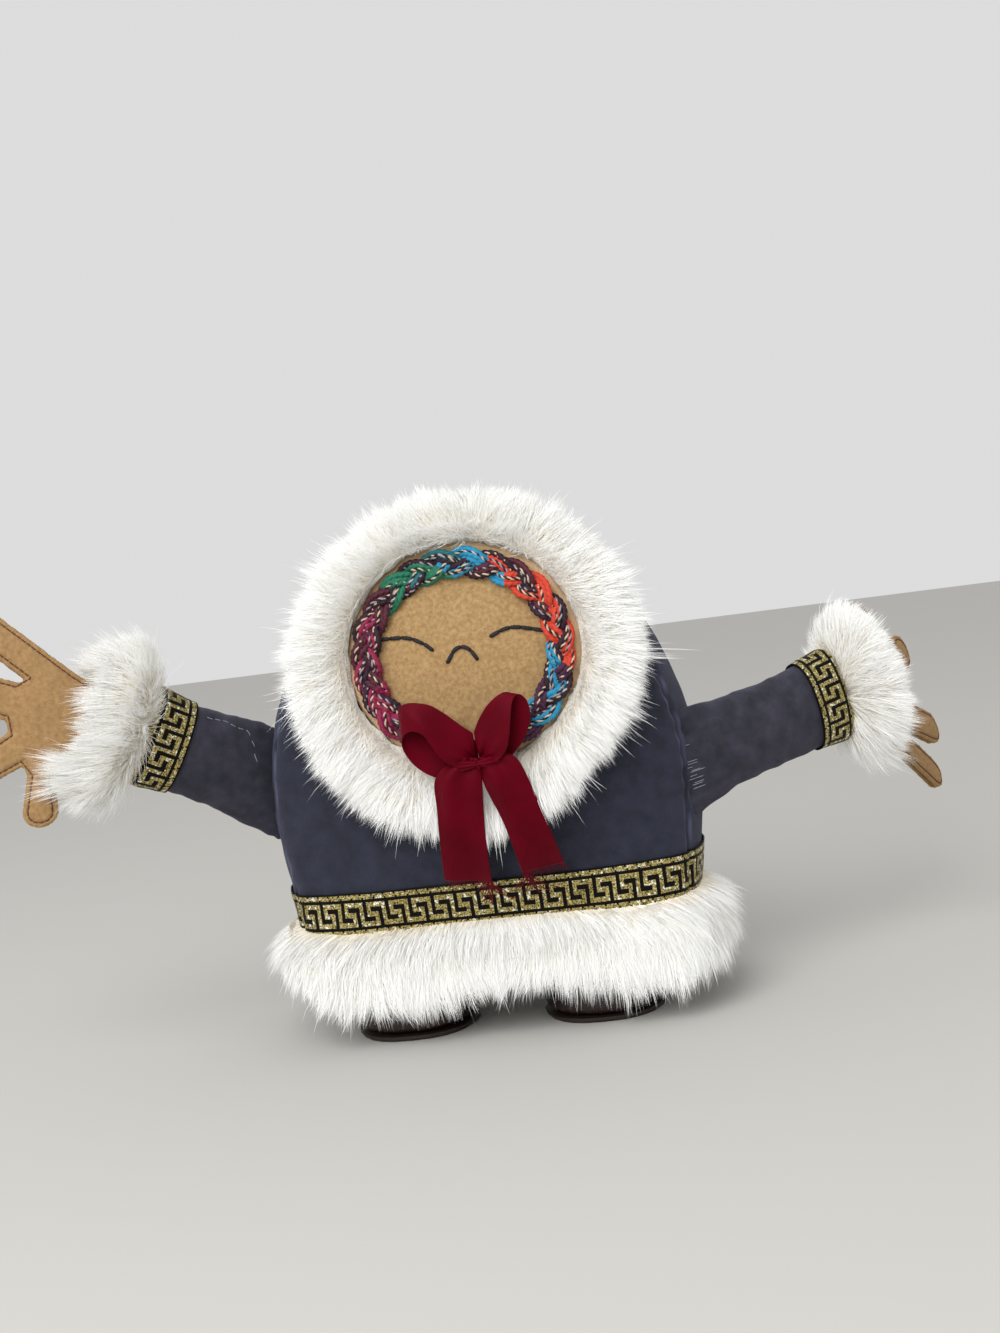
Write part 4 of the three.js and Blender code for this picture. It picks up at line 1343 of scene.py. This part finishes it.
# How far right and up, as the photo shows them, a hand's places move when it is fitted to the photo
hand_fit = {
    "left": ((0.794, -0.041), (0.148, 0.954)),
    "right": ((1.14, 0.005), (-0.52, 0.84)),
}

thumb_middle = -0.0395


def fit_hand(points, side, normal):
    """Turns a hand about its wrist, in its own flat, so that its digits lie where the photo has them."""
    wrist = np.array(joint_places[f"wrist_{side}"])
    right, up = photo_axes
    first = unit(np.cross(normal, up)[None])[0]
    second = np.cross(first, normal)
    basis = np.stack([first, second])
    seen = np.array([[right @ first, right @ second], [up @ first, up @ second]])
    warp = np.linalg.inv(seen) @ np.array(hand_fit[side]) @ seen
    offset = points - wrist
    flat = (offset @ basis.T) @ warp.T
    if side == "left":
        shown = flat @ seen.T
        lower = np.clip((-shown[:, 1] - 0.017) / 0.007, 0, 1)
        shown[:, 0] = thumb_middle + (shown[:, 0] - thumb_middle) * (1 + 0.3 * lower)
        flat = shown @ np.linalg.inv(seen).T
    return wrist + flat @ basis + (offset @ normal)[:, None] * normal


stitch_inset = 0.0019
stitch_step = 0.0022
stitch_length = 0.0020


def make_topstitch(name, hand, outline, normal, side):
    """Stitches on a felt layer, along a line set in from its outline."""
    spread = outline - outline.mean(axis=0)
    turning = np.cross(spread, np.roll(spread, -1, axis=0)).sum(axis=0) @ normal
    run = np.roll(outline, -1, axis=0) - np.roll(outline, 1, axis=0)
    inner = outline + math.copysign(stitch_inset, turning) * np.cross(normal, unit(run))
    away, _ = distance_to_line(inner, outline)
    inner = inner[away > 0.94 * stitch_inset]
    closed = np.vstack([inner, inner[:1]])
    travelled = distances_along(closed)
    even = np.arange(0, travelled[-1], 0.0005)
    path = places_along(even, travelled, closed)
    surface = Surface(hand)
    for i, point in enumerate(path):
        hit = surface.hit(point + 0.02 * normal, -normal)
        if hit is not None:
            path[i] = np.array(hit)
    path += 0.00012 * normal
    share = np.linspace(-1, 1, 6)
    grids = []
    for k in range(int(travelled[-1] / stitch_step)):
        start = k * stitch_step
        line = places_along(np.linspace(start, start + stitch_length, 6), even, path)
        line -= normal * (0.0004 * share ** 6)[:, None]
        grids.append(sweep_tube(line, 0.00027, 6))
    dress(link(name, join_grids(name, grids)), topstitch_look, f"hand_{side}")


def make_hand(side):
    """Two felt layers, puffed between their topstitched edges."""
    facing = hand_axes(side)
    for layer, sign in (("front", 1), ("back", -1)):
        node = f"hand_{layer}_{side}"
        normal = np.array(facing * sign)
        outline = fit_hand(outline_of(node, facing * sign), side, normal)
        hand = joined_copy(f"felt_{layer}_{side}", [node])
        set_coordinates(hand.data, fit_hand(coordinates(hand.data), side, normal))
        remesh(hand, 0.0008)
        keep_largest(hand)
        smooth(hand, 3)
        points = coordinates(hand.data)
        depth = (points @ normal) - outline.mean(axis=0) @ normal
        away, _ = distance_to_line(points - depth[:, None] * normal, outline)
        groove = 0.0005 * np.exp(-((away - stitch_inset) / 0.0006) ** 2)
        puff = 0.0016 * np.sqrt(np.clip(away / 0.009, 0, 1)) - groove
        puff *= np.clip(1 + depth / 0.0013, 0, 1)
        lumps = 0.00015 * wave(points, 0.012, 151)
        set_coordinates(hand.data, points + normal * puff[:, None] + normal * lumps[:, None])
        dress(hand, hand_look, f"hand_{side}", [node])
        make_topstitch(f"topstitch_{layer}_{side}", hand, outline, normal, side)


# Woven trims

key_unit = (
    ["..GGGGGGGGGG"] * 3
    + ["..GG......GG"] * 3
    + ["..GGGGGG..GG"] * 3
    + ["......GG..GG"] * 3
    + ["GGGGGGGG..GG"] * 3
)
chain_unit = ["GGGGG.", "GGGGGG", ".GGGGG"]
trim_edge = [("black", 1), ("chain", 3), ("black", 2)]
trim_bands = [*trim_edge, ("key", len(key_unit)), *trim_edge[::-1]]
unit_pitch = 0.0085
trim_rows = sum(size for _, size in trim_bands)


def trim_cell(row, column):
    """Whether a cell of the trim shows gold, from the top row down."""
    for kind, size in trim_bands:
        if row < size:
            if kind == "key":
                return key_unit[row][column % len(key_unit[0])] == "G"
            if kind == "chain":
                return chain_unit[row][column % len(chain_unit[row])] == "G"
            return False
        row -= size
    return False


def make_trim(name, node, body, ring, length):
    """A woven band: ring(share round, share across) gives a place, and each cell is black or gold."""
    columns = max(4, round(length / unit_pitch)) * len(key_unit[0])
    across = trim_rows + 1
    places = [[ring(i / columns, j / trim_rows) for j in range(across)] for i in range(columns)]
    faces, gold = [], []
    for i in range(columns):
        for j in range(trim_rows):
            a = i * across + j
            b = ((i + 1) % columns) * across + j
            faces.append((a, b, b + 1, a + 1))
            gold.append(1.0 if trim_cell(j, i) else 0.0)
    mesh = face_mesh(name, places, faces)
    stored = mesh.attributes.new("gold", "FLOAT", "FACE")
    stored.data.foreach_set("value", gold)
    obj = link(name, mesh)
    thicken(obj, 0.0005)
    recalculate(obj.data)
    return dress(obj, trim_look, body, [node])


trim_clearance = 0.0006


def make_hem_trim(skin):
    """The trim round the hem, laid on the velvet."""
    trim_low, trim_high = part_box("hem_trim")
    centre = np.array([middle.x, middle.y])
    mid = (trim_low.z + trim_high.z) / 2
    path = []
    for k in range(720):
        angle = 2 * math.pi * k / 720
        out = np.array([math.cos(angle), math.sin(angle), 0])
        path.append(np.array(skin.hit(np.array([*centre, mid]) + 0.3 * out, -out)))
    path = np.array(path + path[:1])
    travelled = distances_along(path)
    length = travelled[-1]

    def ring(around, across):
        at = around * length
        base = places_along(at, travelled, path)
        ahead = places_along((at + 0.004) % length, travelled, path)
        back = places_along((at - 0.004) % length, travelled, path)
        run = (ahead - back) / np.linalg.norm(ahead - back)
        out = np.array([run[1], -run[0], 0])
        z = trim_high.z - across * (trim_high.z - trim_low.z)
        hit = skin.hit((base[0] + 0.02 * out[0], base[1] + 0.02 * out[1], z), -out)
        if hit is None:
            hit = base
        return np.array(hit) + trim_clearance * out

    make_trim("hem_band", "hem_trim", "torso", ring, length)


def make_cuff_trim(side, sleeve):
    """The trim round a sleeve's end, laid on the velvet."""
    surface = Surface(sleeve)
    origin, along, up, through, _ = arm_frame(side)
    node = f"cuff_trim_{side}"
    points = coordinates(frame["nodes"][node].data)
    places = local(points, origin, (along, up, through))
    start_s, end_s = places[:, 0].min(), places[:, 0].max()
    tall, thick = np.abs(places[:, 1]).max(), np.abs(places[:, 2]).max()
    angles = np.linspace(0, 2 * math.pi, 361)
    oval = np.stack([tall * np.sin(angles), thick * np.cos(angles)], axis=1)
    travelled = distances_along(oval)
    length = travelled[-1]

    def ring(around, across):
        angle = float(np.interp(around * length, travelled, angles))
        s = start_s + 0.0004 + across * (end_s - start_s - 0.0008)
        out = up * (math.sin(angle) * tall) + through * (math.cos(angle) * thick)
        axis_place = origin + along * s
        hit = surface.hit(axis_place + out * 2, (-out).normalized())
        if hit is None:
            hit = axis_place + out
        return np.array(hit) + trim_clearance * np.array(out.normalized())

    make_trim(f"cuff_band_{side}", node, f"arm_{side}", ring, length)


# Bow

knot_low, knot_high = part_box("bow_knot")
knot = (np.array(knot_low) + np.array(knot_high)) / 2
ribbon_thick = 0.0004
fold_steps = 24


def ribbon_piece(name, rows, body, nodes):
    obj = link(name, grid_mesh(name, rows))
    thicken(obj, ribbon_thick, 0)
    recalculate(obj.data)
    subdivide(obj, 1)
    return dress(obj, ribbon_look, body, nodes)


def make_loop(side, open_edge, far_edge, front):
    """A ribbon loop between its two edges, each given in mm from the knot: right, up, forwards."""
    lines = []
    for edge in (open_edge, far_edge):
        lines.append(curve_through(knot + np.array([(x, -y, z) for x, z, y in edge]) / 1000, 6))
    rows = []
    count = len(lines[0])
    for i, (near, far) in enumerate(zip(*lines)):
        t = i / (count - 1)
        turned = np.interp(t, [0, 1], front)
        row = []
        for k in range(fold_steps + 1):
            v = k / fold_steps
            place = near + (far - near) * v
            from_knot = np.hypot(place[0] - knot[0], place[2] - knot[2] + 0.0012)
            close = math.exp(-(from_knot / 0.009) ** 2)
            around = math.atan2(place[2] - knot[2] + 0.0012, place[0] - knot[0])
            bulge = 0.0012 * turned * 4 * v * (1 - v) * math.sin(math.pi * t)
            drawn = 0.0034 * math.exp(-(from_knot / 0.0045) ** 2)
            pleat = 0.0008 * close * math.cos(9 * around + 0.8) * min(1, from_knot / 0.003)
            soft = 0.0005 * math.sin(4 * v + 9 * t)
            row.append(place + np.array([0, drawn - bulge - pleat - soft, 0]))
        rows.append(row)
    return ribbon_piece(f"ribbon_loop_{side}", rows, "torso", [f"bow_loop_{side}"])


def make_tail(side, left_edge, right_edge):
    """A tail between two edges, each a few (x, z) points in mm from the stitched middle down."""
    steps = 60
    left = smooth_path([(x * MM, 0, z * MM) for x, z in left_edge], steps + 1)
    right = smooth_path([(x * MM, 0, z * MM) for x, z in right_edge], steps + 1)
    rows = []
    for i in range(steps + 1):
        t = i / steps
        row = []
        for k in range(fold_steps + 1):
            v = k / fold_steps
            point = left[i] * (1 - v) + right[i] * v
            crease = 0.0009 * (1 - t) ** 1.5 * math.cos(3.5 * math.pi * v)
            crease += 0.0006 * math.cos(2 * math.pi * v + 2.2 * t)
            depth = -0.0048 - 0.0012 * math.sin(math.pi * min(1, 2.2 * t)) + 0.0125 * max(0, t - 0.15) ** 2.2
            row.append(knot + point + np.array([0, depth + crease, 0]))
        rows.append(row)
    name = f"ribbon_tail_{side}"
    piece = ribbon_piece(name, rows, name, [f"bow_tail_{side}"])
    make_fringe(side, rows[-1], rows[-4])
    return piece


frayed_threads = 74
firm_threads = 49


def make_fringe(side, edge, above):
    """Threads that have frayed out of a tail's cut end: the last ones are loose, at its inner corner."""
    random = np.random.default_rng(180 if side == "left" else 181)
    edge, above = np.array(edge), np.array(above)
    grids = []
    inner = len(edge) - 1.001 if side == "left" else 0.0
    for thread in range(frayed_threads):
        at = random.uniform(0, len(edge) - 1.001)
        loose = thread >= firm_threads
        if loose:
            at = inner + (at - inner) * 0.3 * random.uniform()
        k = int(at)
        start = edge[k] + (at - k) * (edge[k + 1] - edge[k])
        way = unit((edge[k] - above[k])[None, :])[0]
        run = random.uniform(0.0008, 0.0035) * (3.2 if loose else 1)
        side_way = random.normal() * (0.6 if loose else 0.35)
        t = np.linspace(0, 1, 7)[:, None]
        line = start + way * run * t + np.array([1, 0, 0]) * side_way * run * t ** 2
        line = line + np.array([0, 0.25, 0]) * run * t
        line[0] -= 0.0006 * way
        grids.append(sweep_tube(line, 0.00017 if loose else 0.00012, 5))
    name = f"ribbon_fray_{side}"
    dress(link(name, join_grids(name, grids)), ribbon_look, f"ribbon_tail_{side}")


def make_knot():
    """The stitched middle: a short gathered fold, drawn to one point, that spreads to both sides."""
    rows = []
    for i in range(61):
        a = -1 + 2 * i / 60
        x = 0.0105 * a - 0.0004
        spread = abs(a) ** 0.75
        half = 0.0009 + 0.0020 * spread * (1 - 0.6 * a ** 4)
        centre = 0.0004 * a - 0.0014
        row = []
        for k in range(25):
            v = -1 + k / 12
            bulge = (0.0012 + 0.0022 * math.sqrt(max(0, 1 - a * a))) * math.sqrt(max(0, 1 - 0.8 * v * v))
            crease = 0.0005 * math.cos(2.5 * math.pi * v) * (0.4 + 0.6 * spread) * (1 - a ** 4)
            row.append(knot + np.array([x, -0.0042 - bulge - crease + 0.0035 * a ** 4, centre + half * v]))
        rows.append(row)
    ribbon_piece("ribbon_knot", rows, "torso", ["bow_knot"])
    down = ((-0.0006, -0.0002), (0.0, -0.0016), (0.0007, -0.0030))
    stitch = [knot + np.array([x, -0.0078, z]) for x, z in down]
    mesh = join_grids("bow_stitch", [sweep_tube(smooth_path(stitch, 12), 0.00028, 6)])
    dress(link("bow_stitch", mesh), ribbon_look, "torso")


# Boots

def make_boot(side):
    """A leather boot, creased at its ankle; its sole stays as the CAD has it."""
    boot = joined_copy(f"leather_boot_{side}", [f"boot_{side}"])
    remesh(boot, 0.0022)
    smooth(boot, 4)
    subdivide(boot, 1)
    points = coordinates(boot.data)
    front = np.clip((middle.y - points[:, 1]) / 0.03, 0, 1)
    wrinkle = 0.0005 * np.sin(points[:, 1] / 0.0032 * 2 * math.pi + 2 * wave(points, 0.02, 171)) * (1 - front)
    push = wrinkle * np.clip((points[:, 2] - 0.008) / 0.01, 0, 1) + 0.0003 * wave(points, 0.012, 172)
    set_coordinates(boot.data, points + normals_of(boot.data) * push[:, None])
    dress(boot, leather_look, "torso", [f"boot_{side}"])
    sole = frame["nodes"][f"boot_sole_{side}"]
    sole.data.materials.clear()
    sole.data.materials.append(sole_look)


make_camera()
body = make_body()
make_filling()
skin = Surface(body)
felt_piece = make_face(skin)
felt = Surface(felt_piece)
make_features(felt)
make_braid(felt)
make_hem_fur()
make_hem_trim(skin)
for arm_side in ("left", "right"):
    arm_sleeve = make_sleeve(arm_side)
    make_gathers(arm_side, arm_sleeve)
    make_cuff_trim(arm_side, arm_sleeve)
    make_cuff_fur(arm_side)
    make_hand(arm_side)
    make_boot(arm_side)
ribbons = [
    make_loop(
        "left",
        [(-0.5, -4.5, 1), (-7, -5.6, 1.5), (-12.5, -6, 2.5), (-18, -3.6, 4), (-22.6, 0.8, 5.5),
         (-25.3, 6.5, 7), (-24.6, 11, 8.5), (-21, 13, 9.6), (-17, 11, 9.8), (-14.3, 6, 9),
         (-11, 0.8, 7.6), (-6, -2.6, 6.2), (-0.5, -3.8, 5.2)],
        [(-0.5, 6, 0.6), (-5, 10, 0.4), (-9.5, 14, 0.6), (-14.5, 17.5, 1), (-20, 19.5, 2),
         (-25, 19.5, 3.4), (-25.2, 21.2, 4.8), (-22.6, 22.6, 6.2), (-18.8, 22.6, 7.2), (-13.5, 21, 7.4),
         (-8.4, 17, 7), (-4, 12.8, 6.4), (-0.3, 9.6, 5.6)],
        (-0.5, 1),
    ),
    make_loop(
        "right",
        [(0.5, -3.8, 5.2), (6, -1.8, 6.4), (10.5, 2, 7.8), (12.8, 8, 8.8), (14, 14, 9),
         (15.4, 19.6, 8), (17.6, 21, 6.4), (19.8, 18.6, 4.8), (20.4, 14, 3.4), (18.9, 8.6, 2.2),
         (15.6, 3.2, 1.4), (9, -2.2, 0.9), (0.5, -5, 0.6)],
        [(0, 9.6, 5.6), (1.6, 12.8, 6.2), (3.6, 15.8, 6.8), (6.2, 18.8, 7), (9, 21, 6.6),
         (11.6, 22.2, 5.8), (13.4, 22.2, 4.6), (12.8, 21.2, 3.4), (9.8, 19, 2.4), (6, 16, 1.6),
         (3, 12.5, 1), (0.5, 9, 0.6), (-0.5, 5, 0.4)],
        (1, -0.5),
    ),
    make_tail(
        "left",
        [(-6.5, 1.5), (-15.6, -4.5), (-17.2, -18), (-19.0, -43.3)],
        [(1.0, 0.5), (0.6, -9), (-1.2, -28), (-2.0, -45.6)],
    ),
    make_tail(
        "right",
        [(-1.0, 0.5), (1.0, -9), (6.0, -25), (9.2, -43.5)],
        [(6.5, 1.5), (14.2, -1.5), (20.0, -21), (24.7, -41.5)],
    ),
]
make_knot()
make_ruff(ribbons, felt)


# Room

def make_room():
    """The floor, the light and the soft room of the photo's kind."""
    bpy.ops.mesh.primitive_plane_add(size=4)
    floor = bpy.context.object
    floor.name = "floor"

    def build(_, shader):
        shader.inputs["Base Color"].default_value = (*srgb(196, 194, 189), 1)
        shader.inputs["Roughness"].default_value = 0.9

    floor.data.materials.append(material("floor", build))
    world = bpy.data.worlds.new("soft_room")
    bpy.context.scene.world = world
    world.use_nodes = True
    world.node_tree.nodes["Background"].inputs[0].default_value = (0.72, 0.72, 0.72, 1)
    data = bpy.data.lights.new("window", "AREA")
    data.energy = 12
    data.size = 0.9
    lamp = bpy.data.objects.new("window", data)
    bpy.context.scene.collection.objects.link(lamp)
    lamp.location = middle + Vector((-0.28, -0.95, 0.85))
    lamp.rotation_euler = (Vector((0, 0, 0.1)) + middle - lamp.location).to_track_quat("-Z", "Y").to_euler()
    bpy.context.scene.view_settings.view_transform = "Standard"


make_room()
